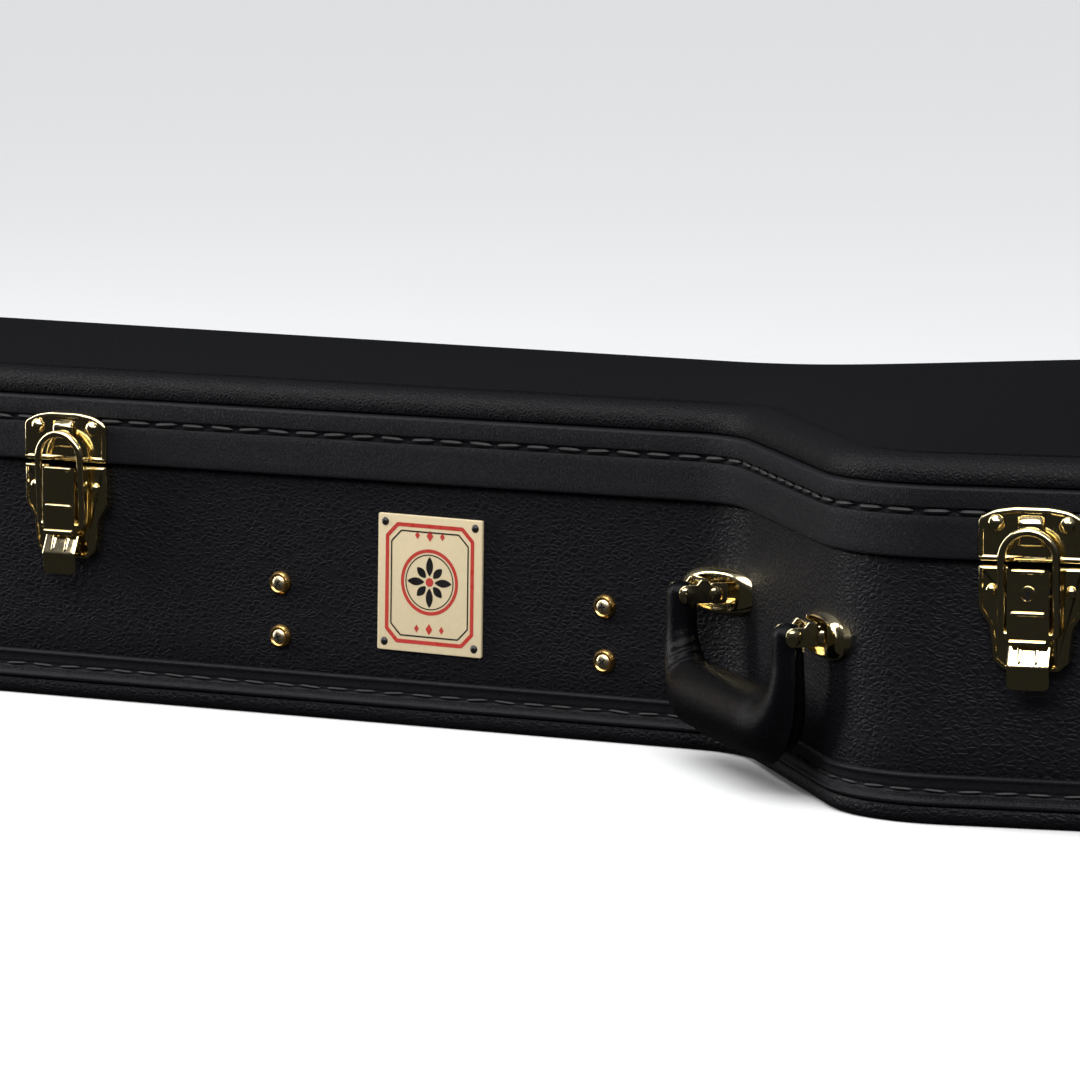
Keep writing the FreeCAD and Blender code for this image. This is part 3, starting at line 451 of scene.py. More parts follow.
def swept(profile):
    """Closed profile of (offset, height) carried round the case: each point is wall + normal x offset."""
    profile = np.asarray(profile, float)
    flat = WALL[:, None] + OUTWARD[:, None] * profile[None, :, :1]
    high = np.broadcast_to(profile[None, :, 1:], flat.shape[:2] + (1,))
    return grid(np.concatenate([flat, high], -1), True, True)


# height of the lid's arch over the neck and over the body
NECK_RISE, BODY_RISE = 10.5, 18.5


def arch(x, y, margin=8.0):
    """Height of the lid's arch above its edge.

    Across the case it is a circular arc over the half width less the margin; its
    rise grows from the neck's to the body's along a smooth step 200 mm long.
    """
    blend = np.clip((x + 110) / 200, 0, 1)
    rise = NECK_RISE + (BODY_RISE - NECK_RISE) * blend * blend * (3 - 2 * blend)
    reach = np.interp(np.clip(x, -487, 442), SIDE_WALL[:, 0], -SIDE_WALL[:, 1]) - margin
    radius = (reach ** 2 + rise ** 2) / (2 * rise)
    return np.sqrt(np.maximum(radius ** 2 - np.minimum(np.abs(y), reach) ** 2, 0)) - radius + rise


def over_plan(rim, lower, upper, columns=26, margin=8.0):
    """Closed sheet over the whole plan of the case.

    Rim points are (offset, height, share of the arch) from the lower face's edge to
    the upper face's; each face runs in straight lines from its edge to the spine on
    the long axis, at height + share x arch.
    """
    spine = np.column_stack([np.clip(WALL[:, 0], -430, 350), np.zeros(len(WALL))])
    share = (np.linspace(0, 1, columns) ** 1.15)[None, :, None]
    faces = []
    for offset, (height, part) in ((rim[0][0], lower), (rim[-1][0], upper)):
        edge = (WALL + OUTWARD * offset)[:, None]
        flat = edge * (1 - share) + spine[:, None] * share
        faces.append(np.concatenate([flat, height + part * arch(flat[..., :1], flat[..., 1:], margin)], -1))
    rows = []
    for offset, height, part in rim:
        flat = WALL + OUTWARD * offset
        inner = WALL + OUTWARD * min(offset, rim[-1][0])
        rows.append(np.column_stack([flat, height + part * arch(inner[:, 0], inner[:, 1], margin)]))
    return grid(np.concatenate([faces[0][:, ::-1], np.stack(rows, 1), faces[1]], 1), wrap_rows=True)


def stitches(offset, height, pitch, long, thick):
    """Row of long stitches round the case: each a short grain of thread that dips in at its two ends.

    Along a stitch t runs from -1 to 1; the thread's radius is thick x (1 - t^4)^(1/2)
    and it sinks by half its radius at the ends.
    """
    total = RUN[-1]
    count = int(round(total / pitch))
    centres = (np.arange(count) + 0.5) * total / count + rng.uniform(-0.5, 0.5, count)
    t = np.linspace(-1, 1, 7)
    along = (centres[:, None] + t[None] * long / 2) % total
    flat, out = [np.stack([np.interp(along, RUN, np.append(way[:, i], way[0, i])) for i in (0, 1)], -1)
                 for way in (WALL, OUTWARD)]
    out = unit(out)
    angle = np.linspace(0, 2 * np.pi, 6, endpoint=False)
    radius = thick * np.sqrt(np.maximum(1 - t ** 4, 0))
    tilt = rng.uniform(-0.35, 0.35, count)
    sink = offset - 0.5 * thick * t ** 4
    reach = sink[None, :, None] + radius[None, :, None] * np.cos(angle)
    points = np.empty((count, 7, 6, 3))
    points[..., :2] = flat[:, :, None] + out[:, :, None] * reach[..., None]
    points[..., 2] = height + radius[None, :, None] * np.sin(angle) + (tilt[:, None] * t[None])[..., None]
    faces = quads(7, 6, wrap_columns=True)
    faces = faces[None] + (np.arange(count) * 42)[:, None, None]
    return points.reshape(-1, 3), faces.reshape(-1, 4).tolist()


def quarter(centre, radius, start, end, steps=7):
    """Points of an arc in a profile, angles in degrees from outwards towards up."""
    angle = np.radians(np.linspace(start, end, steps))
    return [(centre[0] + radius * np.cos(a), centre[1] + radius * np.sin(a)) for a in angle]


# ---------------------------------------------------------------- shell
# heights of the base wall's foot and top, of the two lines of stitches and of the lid's edge
WALL_FOOT, WALL_TOP = 6.6, 92.7
WELT_SEAM, BAND_SEAM = 12.1, 109.5
LID_EDGE = 128.5
# how far the lid's band stands out from the wall
BAND_OUT = 3.5


def make_base_shell():
    """Base wall, bottom panel and the stitched welt near the floor."""
    wall = [(-6, WALL_FOOT), (-0.2, WALL_FOOT), (0, 6.9)] + [(0, z) for z in (30, 60, 88)]
    wall += quarter((-1.4, WALL_TOP - 1.4), 1.4, 0, 90, 5) + [(-6, WALL_TOP)]
    piece("base_wall_covering", [swept(wall)], PEBBLE, "base", ["base_wall"])
    foot = np.radians(range(10, 91, 10))
    under = [(-4, 0, 0)] + [(-3.2 + 4 * np.sin(a), 4 - 4 * np.cos(a), 0) for a in foot]
    under += [(0.8, 5.6, 0), (0.4, 6.3, 0), (-0.6, 6.5, 0)]
    piece("bottom_covering", [over_plan(under, (0, 0), (6.5, 0), 3)], PEBBLE, "base", ["base_panel"])
    bead = quarter((0.75, 8.0), 0.95, -60, 80, 6) + [(0.72, 9.3), (0.66, 10.6)]
    groove = [(0.6, 11.1), (0.25, 11.5), (0.25, 12.7), (0.6, 13.1)]
    upper = [(0.7, 13.9), (0.78, 15.6)] + quarter((0.75, 16.9), 0.9, -70, 80, 6) + [(0.1, 18.0), (-0.4, 17.9)]
    piece("welt_strip", [swept([(-0.4, 7.1)] + bead + groove + upper)], BAND, "base", ["base_welt"])
    piece("welt_stitching", [stitches(0.55, WELT_SEAM, 12.4, 9.6, 0.62)], THREAD, "base")


def make_lid_shell():
    """Lid band with its stitches, rolled edge and arched top."""
    side = [(0.3, 93.4)] + quarter((2.4, 94.3), 1.1, -90, 0, 5)
    side += [(BAND_OUT, z) for z in (97, 101, 105, 107.6)]
    side += [(3.4, 107.9), (1.8, 108.3), (1.5, BAND_SEAM), (1.8, 110.7), (3.4, 111.1)]
    side += [(BAND_OUT, 111.6), (BAND_OUT, 114.0)]
    side += quarter((2.3, 116.9), 1.2, 0, 90, 6) + [(1.0, 118.3), (-0.2, 118.4)]
    piece("lid_band_covering", [swept(side + [(-0.2, 100)])], BAND, "lid", ["lid_band"])
    piece("lid_band_stitching", [stitches(2.5, BAND_SEAM, 12.8, 10.8, 0.95)], THREAD, "lid")

    rim = [(-4.0, 118.7, 0), (0.6, 118.7, 0), (1.3, 119.0, 0), (1.5, 119.8, 0.1)]
    for angle in np.radians(np.arange(8, 91, 8)):
        rim.append((1.5 - 8.2 * (1 - np.cos(angle)), LID_EDGE - 8.4 + 8.35 * np.sin(angle),
                    0.1 + 0.9 * np.sin(angle)))
    rim += [(offset, LID_EDGE - drop, 1)
            for offset, drop in ((-8.2, 0.15), (-9.1, 0.35), (-9.6, 1.6), (-9.7, 3.4))]
    inner = WALL + OUTWARD * -8.0
    rise = arch(inner[:, 0], inner[:, 1])
    rows = [np.column_stack([WALL + OUTWARD * offset, height + part * rise]) for offset, height, part in rim]
    piece("lid_edge_roll", [grid(np.stack(rows, 1), True, True)], ROLL, "lid", ["lid_panel"])
    low = LID_EDGE - 4.6
    top = over_plan([(-9.3, low, 1), (-9.0, LID_EDGE - 1.2, 1), (-9.5, LID_EDGE - 0.3, 1)],
                    (low, 1), (LID_EDGE, 1), 34)
    piece("lid_top_sheet", [top], TOP, "lid")


# ---------------------------------------------------------------- latches
PARTING = 92.95
LATCH_X = {"neck_latch": -361.0, "lock_latch": 112.6, "body_latch": 362.0}
# pivots (y, z) and the key's middle in a latch's frame, whose origin is on the wall at the parting line
LEVER_PIVOT = (-5.0, 7.2)
BAIL_PIVOT = (-24.5, 7.4)
KEY_Y = -10


def plated(name, shapes, body, sharp=38.0, metal=GOLD, node=None):
    """Plated hardware that takes the place of one node, of the same name unless given."""
    piece(name + "_polished", shapes, metal, body, [node or name], sharp)


def yz_prism(outline, low, high, rim=0.25):
    """Outline in the local YZ plane pushed from low to high along X, with rounded rims."""
    return crosswise(pressed(outline, slab_steps(low, high, rim)))


def latch_plate():
    """Base plate: stepped rim round a sunk face, a notch behind the lever, and two lugs for its pivot."""
    half = [(8, -0.9), (19, -0.9), (19, -16.2), (15, -22), (13.6, -34), (9.6, -37.4)]
    radii = [0.4, 0.9, 4.0, 4.0, 2.4, 1.4]
    corners = half + [(-x, y) for x, y in reversed(half)] + [(-8, -10.5), (8, -10.5)]
    outline = rounded(corners, radii + radii[::-1] + [0.8, 0.8])
    pan = pressed(outline, [(0, 0), (3.7, 0), (4.4, 0.2), (4.95, 0.7), (5.2, 1.35), (5.15, 1.75),
                            (4.75, 2.0)])
    lug = [(-8, -3), (-1.6, 1.15), (-0.5, 1.6), (0.6, 1.5), (1.35, 0.9), (1.62, 0), (1.35, -0.9), (0.6, -1.5),
           (-0.9, -2.1), (-5.5, -3.2)]
    lug = np.array(lug) + LEVER_PIVOT
    return [pan] + [yz_prism(lug, low, low + 1.2, 0.15) for low in (-6.2, 5.0)]


def latch_striker():
    """Striker on the lid band: arched plate with a rim, and the smooth boss that the bail goes over."""
    half = [(19, 0.4), (19, 15.4), (13.2, 18.3), (6, 19.4)]
    radii = [0.6, 3.0, 14.0, 20.0]
    outline = rounded(half + [(-x, y) for x, y in reversed(half)], radii + radii[::-1], 8.0)
    sheet = pressed(outline, [(BAND_OUT, 0), (4.3, 0), (4.8, 0.25), (5.15, 0.8), (5.2, 1.5), (4.95, 1.9),
                              (4.8, 2.1)])
    boss = rounded([(5.6, 4.4), (6.2, 7.5), (14.6, 7.5), (16.9, 4.4)], [0.3, 1.4, 2.2, 0.4])
    return [sheet, yz_prism(boss, -4.6, 4.6, 1.5)]


def latch_lever():
    """Lever: bent strip with two ridges, a rolled barrel, a fluted slope, a thumb tab and pivot cheeks."""
    bend = rounded([(-1.6, 9.4), (-26.4, 9.4), (-27.6, 6.4), (-35.6, 10.0), (-36.8, 9.2), (-43.2, 9.0)],
                   [0, 0.8, 0.8, 0.8, 0.8, 0], 12, False)
    path, run = spaced(bend, 90)
    left = run[-1] - run
    wide = 7.5 - 1.8 * (1 - np.sqrt(np.clip(1 - (1 - np.clip(left / 1.9, 0, 1)) ** 2, 0, 1)))
    shapes = [strip(path, wide, 1.2)]
    # wires laid on the strip: middle, half length, radius, bluntness of the ends, sides
    wires = [((0, y, 9.85), (6.5, 0, 0), radius, 8, 12) for y, radius in ((-2.3, 0.95), (-16.8, 0.9))]
    wires += [((0, -26.9, 9.6), (7.3, 0, 0), 1.15, 30, 18)]
    wires += [((x, -31.9, 7.6), (0, -4.3, 1.7), 1.55, 6, 14) for x in (-3.0, 3.0)]
    t = np.linspace(-1, 1, 17)
    for middle, half, radius, blunt, sides in wires:
        shapes.append(wire(middle + t[:, None] * half, radius * np.maximum(1 - t ** blunt, 0) ** 0.5, sides))
    for low in (-7.5, 6.6):
        for y, z in (LEVER_PIVOT, BAIL_PIVOT):
            cheek = [(y - 2.4, 9.3), (y - 2.0, z - 1.2), (y - 1.0, z - 1.8), (y + 1.0, z - 1.8),
                     (y + 2.0, z - 1.2), (y + 2.4, 9.3)]
            shapes.append(yz_prism(np.array(cheek), low, low + 0.9, 0.15))
    return shapes


def latch_bail():
    """Bail: one wire from its inner tip, round a tight corner, up the leg, over the arch and back."""
    gap, high, bend = 9.75, 35.9, 1.9
    corner = np.radians(np.linspace(-90, 0, 8))
    right = np.column_stack([gap - bend + bend * np.cos(corner), bend + bend * np.sin(corner)])
    leg = np.column_stack([np.full(10, gap), np.linspace(bend + 1.5, high - gap - 1, 10)])
    over = np.radians(np.linspace(0, 90, 16))
    crown = np.column_stack([gap * np.cos(over), high - gap + gap * np.sin(over)])
    half = np.vstack([[(6.5, 0)], right, leg, crown])
    full = np.vstack([half, half[::-1][1:] * (-1, 1)])
    lean = np.radians(3.2)
    path = np.column_stack([full[:, 0], BAIL_PIVOT[0] + full[:, 1] * np.cos(lean),
                            BAIL_PIVOT[1] + full[:, 1] * np.sin(lean)])
    slim = np.interp(np.abs(full[:, 0]) + full[:, 1] * 10, [6.4, 7.8], [0.95, 1.5])
    return [wire(path, slim, 16)]


def make_latches():
    """Four latches with their pins and rivets; the one on the upper bout has a lock."""
    places = {tag: wall_frame(x, PARTING) for tag, x in LATCH_X.items()}
    places["tail_latch"] = upright((TAIL_X, 0), (1, 0), PARTING)
    pins, base_rivets, lid_rivets = [], [], []
    for tag, place in places.items():
        for part, shapes, body in (("plate", latch_plate(), "base"), ("striker", latch_striker(), "lid"),
                                   ("lever", latch_lever(), tag + "_lever"),
                                   ("bail", latch_bail(), tag + "_bail")):
            plated(f"{tag}_{part}", [placed(shape, place) for shape in shapes], body, 32.0)
        pin = crosswise(turned([(0, -7.4), (0.98, -7.4), (0.98, 7.4), (0, 7.4)], 16))
        pins.append(placed(local(pin, 0, *LEVER_PIVOT), place))
        base_rivets += [placed(local(cap(2.2, 1.5, 4.9), x, -9.5), place) for x in (-14, 14)]
        lid_rivets += [placed(local(cap(3.1, 2.0, 4.95), x, 13.6), place) for x in (-12.6, 12.6)]
    plated("latch_pivots", pins, "base", node="latch_pivot_pins")
    plated("latch_base_rivets", base_rivets, "base")
    plated("latch_lid_rivets", lid_rivets, "lid")
    face = [(0, 8.5), (2.9, 8.5), (2.9, 10.2), (2.75, 10.5), (2.35, 10.62), (2.2, 10.35), (0, 10.5)]
    place = places["lock_latch"]
    plated("key_barrel", [placed(local(turned(face), 0, KEY_Y), place)], "key_barrel")
    # painted shade of the keyway: flat black shapes laid on the barrel's face where the slot would be dark
    round_end = rounded([(-0.55, -2.4), (0.55, -2.4), (0.55, 0.4), (-0.55, 0.4)], 0.2)
    keyway = [local(pressed(round_end, [(10.3, 0), (10.56, 0)]), 0, KEY_Y),
              local(turned([(0, 10.3), (1.0, 10.3), (1.0, 10.57), (0, 10.57)]), 0, KEY_Y + 0.4)]
    piece("keyway_shadow", [placed(shape, place) for shape in keyway], BLACK_ENAMEL_AND_PAINTED_SHADE, "key_barrel")


# ---------------------------------------------------------------- handle
HANDLE_HIGH = 61.0
# distance of the bracket pins and the grip's pins from the wall, half their spacing, the grip's drop
PIN_OUT, PIN_FAR, SPAN, DROP = 4.4, 15.4, 63.0, 34.5
# radius of the grip's arms and of its hand part
ARM_RADIUS, HAND_RADIUS = 6.0, 12.2
# places of the plates along the case, half a plate's sizes and half its opening's
PLATE_X, PLATE_HALF, MOUTH_HALF = (-70, 27), (21.25, 8.75), (11.6, 6.4)


def handle_places():
    """Frames of the two plates, and of the handle on the line between them."""
    plates, middles = [], []
    for x in PLATE_X:
        ends = [wall_point(x - 15)[0], wall_point(x + 15)[0]]
        along = unit(ends[1] - ends[0])
        normal = np.array([along[1], -along[0]])
        middle = (ends[0] + ends[1]) / 2
        bulge = max((wall_point(x + step)[0] - middle) @ normal for step in (-10, -5, 0, 5, 10))
        plates.append(upright(middle + normal * max(bulge, 0), normal, HANDLE_HIGH))
        middles.append(middle)
    chord = unit(middles[1] - middles[0])
    return plates, upright((middles[0] + middles[1]) / 2, (chord[1], -chord[0]), HANDLE_HIGH)


def grip_shape():
    """Handle: a U of padded tube with a sewn flange along its outer edge.

    Along the U (s) the radius swells from the arms to the hand part as a smooth
    step; round the section (a) a narrow bell 2 mm high at the outer side is the
    flange, and short ripples on the inner side of each bend are the creases.
    """
    turn = 22.0
    corners = [(-SPAN, 4.5), (-SPAN, -DROP), (SPAN, -DROP), (SPAN, 4.5)]
    bend = rounded(corners, [0, turn, turn, 0], 3, False)
    path, s = spaced(bend, 260)
    along = unit(np.gradient(path, axis=0))
    outer = np.stack([along[:, 1], -along[:, 0]], -1)
    far = np.abs(s - s[-1] / 2)
    blend = np.clip((80 - far) / 46, 0, 1)
    swell = blend * blend * (3 - 2 * blend)
    radius = ARM_RADIUS + (HAND_RADIUS - ARM_RADIUS) * swell
    end = np.minimum(s, s[-1] - s)
    radius = radius * np.sqrt(np.clip(1 - (1 - np.clip(end / 4.5, 0, 1)) ** 2, 0.0, 1))
    angle = np.linspace(0, 2 * np.pi, 64, endpoint=False)
    near_outer = np.angle(np.exp(1j * angle))
    fade = np.clip(end / 12, 0, 1)[:, None]
    flange = 2.0 * np.exp(-(near_outer / 0.13) ** 2) * fade
    valley = -0.55 * np.exp(-((np.abs(near_outer) - 0.42) / 0.16) ** 2) * fade
    bends = np.exp(-((far - 62) / 8.0) ** 2)[:, None]
    inner = np.clip(-np.cos(angle), 0, 1)[None] ** 1.5
    crease = 0.5 * bends * inner * np.sin(s[:, None] * 1.1 + 1.6 * np.sin(2 * angle[None]))
    size = radius[:, None] + flange + valley + crease
    out = size * np.cos(angle) * 1.02
    thick = size * np.sin(angle) * 0.94
    points = np.empty((len(s), len(angle), 3))
    points[..., :2] = path[:, None] + outer[:, None] * out[..., None]
    points[..., 2] = PIN_FAR + thick
    return grid(points, wrap_columns=True)


def plate_cover(oval, x, y):
    """Pressed oval cover with an opening round the bracket at (x, y).

    Rings are blended from the oval to the opening; their height follows
    dome x (1 - (1 - t)^2.2), then drops straight into the opening to its floor.
    The opening is a superellipse of the fourth power.
    """
    angle = np.arctan2(oval[:, 1] / PLATE_HALF[1], oval[:, 0] / PLATE_HALF[0])
    ray = np.stack([np.cos(angle), np.sin(angle)], -1)
    reach = np.sum(np.abs(ray / MOUTH_HALF) ** 4, -1) ** -0.25
    centre = np.array([[x, y - 0.2]])
    mouth = centre + reach[:, None] * ray
    t = np.linspace(0, 1, 9)
    middles = np.repeat(centre, len(oval), 0)
    flat = [(oval, -6.5), (oval, 0.0)]
    flat += [(oval + (mouth - oval) * share, 0.5 + 2.6 * (1 - (1 - share) ** 2.2)) for share in t]
    flat += [(centre + (mouth - centre) * share, height)
             for share, height in ((1.0, 2.6), (0.98, -0.4), (0.5, -0.6), (0.0, -0.6))]
    return grid(lifted(flat + [(middles, -6.5)]), True, True)


def handle_pin(length, head):
    """Headed pin along the local X; length is half the distance between its heads."""
    rod = [(0, -length - 0.9), (head * 0.7, -length - 0.8), (head, -length - 0.3), (head, -length),
           (1.6, -length)]
    return crosswise(turned(rod + [(r, -z) for r, z in reversed(rod)], 24))


def make_handle():
    """Domed plates, brackets, links, pins and the padded grip."""
    plates, place = handle_places()
    bow = circle(72)
    oval = np.sign(bow) * np.abs(bow) ** 0.86 * PLATE_HALF
    covers = []
    for at, middle in zip(plates, (-SPAN, SPAN)):
        pivot = np.array(place[0]) + middle * np.array(place[1]) - np.array(at[0])
        covers.append(placed(plate_cover(oval, pivot @ np.array(at[1]), pivot @ np.array(at[2])), at))
    plated("handle_plates", covers, "base", 50.0)
    ears, wall_pins, links, link_pins = [], [], [], []
    ear = rounded([(-4, -4), (-3.8, PIN_OUT + 3.0), (3.8, PIN_OUT + 3.0), (4, -4)], [0.2, 2.8, 2.8, 0.2])
    strap = rounded([(-2.3, PIN_OUT - 2.2), (2.3, PIN_OUT - 2.2), (3.1, PIN_OUT + 1.8), (5.4, PIN_OUT + 2.9),
                     (5.4, PIN_OUT + 5.8), (3.6, PIN_OUT + 7.2), (3.4, PIN_FAR + 3.0), (-3.5, PIN_FAR + 3.0),
                     (-3.4, PIN_OUT + 2.5)], [2.1, 2.1, 0.5, 0.9, 0.9, 1.0, 2.8, 2.8, 2.0])
    web = rounded([(4.2, PIN_OUT + 2.8), (5.4, PIN_OUT + 2.8), (5.4, PIN_OUT + 5.6), (4.2, PIN_OUT + 5.6)],
                  0.4)
    for middle in (-SPAN, SPAN):
        ears += [yz_prism(ear, middle + low, middle + low + 1.8, 0.35) for low in (-5.4, 3.6)]
        wall_pins.append(local(handle_pin(7.8, 2.6), middle, 0, PIN_OUT))
        links += [yz_prism(strap, middle + low, middle + low + 1.4, 0.35) for low in (-7.4, 6.0)]
        links.append(yz_prism(web, middle - 7.3, middle + 7.3, 0.2))
        link_pins.append(local(handle_pin(7.5, 2.8), middle, 0, PIN_FAR))
    for name, shapes, body in (("brackets", ears, "base"), ("bracket_pins", wall_pins, "base"),
                               ("links", links, "handle_links"), ("link_pins", link_pins, "handle_links")):
        plated(f"handle_{name}", [placed(shape, place) for shape in shapes], body)
    grip = piece("handle_grip_padded", [placed(grip_shape(), place)], LEATHER, "handle_grip", ["handle_grip"],
                 60.0)


# ---------------------------------------------------------------- plaque, washers and screws
PLAQUE_AT, PLAQUE_LEAN = (-197.8, 54.7), -0.9
# the enamel lies from just inside the plaque's sheet to just proud of it
ENAMEL = [(1.45, 0), (1.62, 0)]


def spun(outline, turn):
    """Outline turned about its origin."""
    return outline @ np.array([[np.cos(turn), np.sin(turn)], [-np.sin(turn), np.cos(turn)]])


def enamel_line(outline, width):
    """Raised enamel line inside an outline: outer wall, top, inner wall."""
    inner = inset(outline, width)
    (low, _), (high, _) = ENAMEL
    return grid(lifted([(outline, low), (outline, high), (inner, high), (inner, low)]), True, True)


def petal(length, wide, start):
    """Leaf from the middle outwards: half width = wide x sin(pi t) ^ 0.8 along its length."""
    t = np.linspace(0, 1, 14)
    half = wide * np.sin(np.pi * t) ** 0.8
    along = start + length * t
    return np.vstack([np.column_stack([along, half]), np.column_stack([along, -half])[-2:0:-1]])


def make_plaque():
    """Plaque with corner pins and a plain ornament: double frame, ring with a flower, small diamonds."""
    origin, x_axis, y_axis, z_axis = [np.array(v, float) for v in wall_frame(*PLAQUE_AT)]
    lean = np.radians(PLAQUE_LEAN)
    place = (origin, np.cos(lean) * x_axis + np.sin(lean) * y_axis,
             -np.sin(lean) * x_axis + np.cos(lean) * y_axis, z_axis)
    sheet = rounded([(-23, -26.1), (23, -26.1), (23, 26.1), (-23, 26.1)], 0.8)
    piece("plaque_sheet", [placed(pressed(sheet, slab_steps(0, 1.5, 0.45)), place)], CHAMPAGNE, "base",
          ["plaque"])
    pins = [placed(local(cap(1.6, 0.9, 1.5), x, y), place) for x in (-19.8, 19.8) for y in (-22.9, 22.9)]
    piece("plaque_pin_heads", pins, BLACK_ENAMEL_AND_PAINTED_SHADE, "base", ["plaque_pins"])

    notched = np.array([(-19.5, -18), (-14.5, -23), (14.5, -23), (19.5, -18),
                        (19.5, 18), (14.5, 23), (-14.5, 23), (-19.5, 18)])
    disc = circle(48)
    red = [enamel_line(rounded(notched, 1.5), 1.5), local(enamel_line(disc * 12.6, 1.3), 0, 1)]
    black = [enamel_line(rounded(notched * 0.88, 1.2), 0.55), local(enamel_line(disc * 10.6, 0.4), 0, 1)]
    for number in range(8):
        leaf = petal(5.4 if number % 2 else 7.4, 1.5, 2.3)
        black.append(local(pressed(spun(leaf, number * np.pi / 4), ENAMEL), 0, 1))
    red.append(local(pressed(disc * 1.7, [(1.45, 0), (1.66, 0.1)]), 0, 1))
    diamond = np.array([(0, -2.1), (1.5, 0), (0, 2.1), (-1.5, 0)])
    for y in (-17.0, 18.6):
        for x, scale in ((-5.5, 0.7), (0, 1.0), (5.5, 0.7)):
            red.append(local(pressed(diamond * scale, ENAMEL), x, y))
    for name, shapes, material in (("plaque_red_enamel", red, RED), ("plaque_black_enamel", black, BLACK_ENAMEL_AND_PAINTED_SHADE)):
        piece(name, [placed(shape, place) for shape in shapes], material, "base")


def make_wall_screws():
    """Four cup washers with cross-head screws, each turned its own way."""
    cup = [(1.5, -0.6), (4.6, -0.6), (4.75, 0.2), (4.5, 0.9), (4.0, 1.6), (3.7, 1.95), (3.4, 2.0),
           (3.1, 1.75), (1.5, 0.9)]
    head = [(0, -3), (1.6, -3), (1.6, 0.6), (2.7, 1.5), (2.75, 1.75), (2.3, 2.15), (1.2, 2.42), (0, 2.5)]
    # the crosses are painted shade: flat black shapes in the screw heads where the recesses would be dark
    narrow, long = 0.35, 1.5
    arm = np.array([(-narrow, -long), (narrow, -long), (narrow, -narrow)])
    cross = rounded(np.vstack([spun(arm, number * np.pi / 2) for number in range(4)]), 0.08)
    cups, screws, slot_shades = [], [], []
    corners = [(x, z) for x in (-265.2, -122.3) for z in (30.6, 51.2)]
    for (x, z), turn in zip(corners, (0.3, 1.0, 0.7, 0.15)):
        at = wall_frame(x, z)
        cups.append(placed(turned(np.vstack([cup, cup[:1]]), 36), at))
        screws.append(placed(turned(head), at))
        slot_shades.append(placed(pressed(spun(cross, turn), [(2.0, 0), (2.47, 0), (2.5, 0.05)]), at))
    plated("cup_washers", cups, "base", metal=BRASS, node="pocket_washers")
    plated("screw_heads", screws, "base", metal=STEEL, node="pocket_screws")
    piece("screw_recess_shadow", slot_shades, BLACK_ENAMEL_AND_PAINTED_SHADE, "base")


# ---------------------------------------------------------------- hinges and wooden parts
def dressed(node, name, material, body, bevel):
    """Copy of a CAD node's mesh, merged, with its edges rounded and a finished surface."""
    mesh = NODES[node].data.copy()
    mesh.name = name
    build = bmesh.new()
    build.from_mesh(mesh)
    bmesh.ops.remove_doubles(build, verts=build.verts, dist=0.01 * MM)
    bmesh.ops.dissolve_limit(build, angle_limit=np.radians(2), verts=build.verts, edges=build.edges)
    build.to_mesh(mesh)
    build.free()
    mesh.materials.clear()
    mesh.materials.append(material)
    mesh.shade_smooth()
    mesh.set_sharp_from_angle(angle=np.radians(40))
    made = bpy.data.objects.new(name, mesh)
    bpy.context.scene.collection.objects.link(made)
    edge = made.modifiers.new("edge", "BEVEL")
    edge.width, edge.segments, edge.limit_method = bevel * MM, 3, "ANGLE"
    edge.angle_limit = np.radians(40)
    edge.harden_normals = True
    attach(made, body)
    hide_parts(node)


def make_hinges_and_boards():
    """Hinges, the stained boards inside, and the pocket's cloth-covered parts."""
    for node, body, bevel in (("hinge_base_leaves", "base", 0.25), ("hinge_lid_leaves", "lid", 0.25),
                              ("hinge_pins", "base", 0.2), ("hinge_base_rivets", "base", 0.1),
                              ("hinge_lid_rivets", "lid", 0.1)):
        dressed(node, node + "_polished", GOLD, body, bevel)
    dressed("base_inner_board", "inner_board_stained", PLY, "base", 0.6)
    dressed("lid_wall", "lid_wall_stained", PLY, "lid", 0.5)
    for node, body, bevel in (("pocket_wall_head", "base", 2.6), ("pocket_wall_body", "base", 2.6),
                              ("pocket_ledges", "base", 1.2), ("pocket_flap", "pocket_flap", 1.4)):
        dressed(node, node + "_plush", PLUSH, body, bevel)
    dressed("pocket_hinge_strip", "pocket_hinge_tape", THREAD, "base", 0.2)
    dressed("pocket_pull_tab", "pocket_tab_leatherette", LEATHER, "pocket_flap", 0.5)


def make_linings():
    """Plush over thin foam: floor, walls and lid, each a crowned sheet with rounded rims."""
    floor = over_plan([(-9.3, 6.6, 0), (-9.2, 8.4, 0), (-9.8, 9.4, 0), (-11.2, 10.0, 0)],
                      (6.6, 0), (10.1, 0), 20)
    wave = 0.35 * np.sin(floor[0][:, 0] / 31) * np.sin(floor[0][:, 1] / 23)
    floor[0][:, 2] -= np.where(floor[0][:, 2] > 9.9, np.abs(wave), 0)
    shapes = {"floor_plush": (floor, "base", "base_floor_lining")}
    z = np.linspace(0, 1, 15)
    face = np.column_stack([-12.0 - 0.5 * np.sin(np.pi * z) ** 0.5, 10.6 + 86.4 * z])
    wall = [(-9.2, 10.2), (-9.2, 97.3), (-10.4, 97.5)] + face[::-1].tolist() + [(-10.6, 10.2)]
    shapes["wall_plush"] = (swept(wall), "base", "base_wall_lining")
    side = [(-4.9, 103.1), (-4.9, 118.4), (-8.1, 118.4), (-8.3, 111), (-8.2, 105), (-7.6, 103.6),
            (-6.4, 103.1)]
    shapes["lid_side_plush"] = (swept(side), "lid", "lid_side_lining")
    lid = over_plan([(-9.2, 120.2, 0.96), (-9.0, 121.5, 0.98), (-9.2, 122.6, 1)],
                    (120.2, 0.96), (123.3, 1), 22, 13)
    shapes["lid_top_plush"] = (lid, "lid", "lid_top_lining")
    for name, (shape, body, node) in shapes.items():
        made = piece(name, [shape], PLUSH, body, [node])


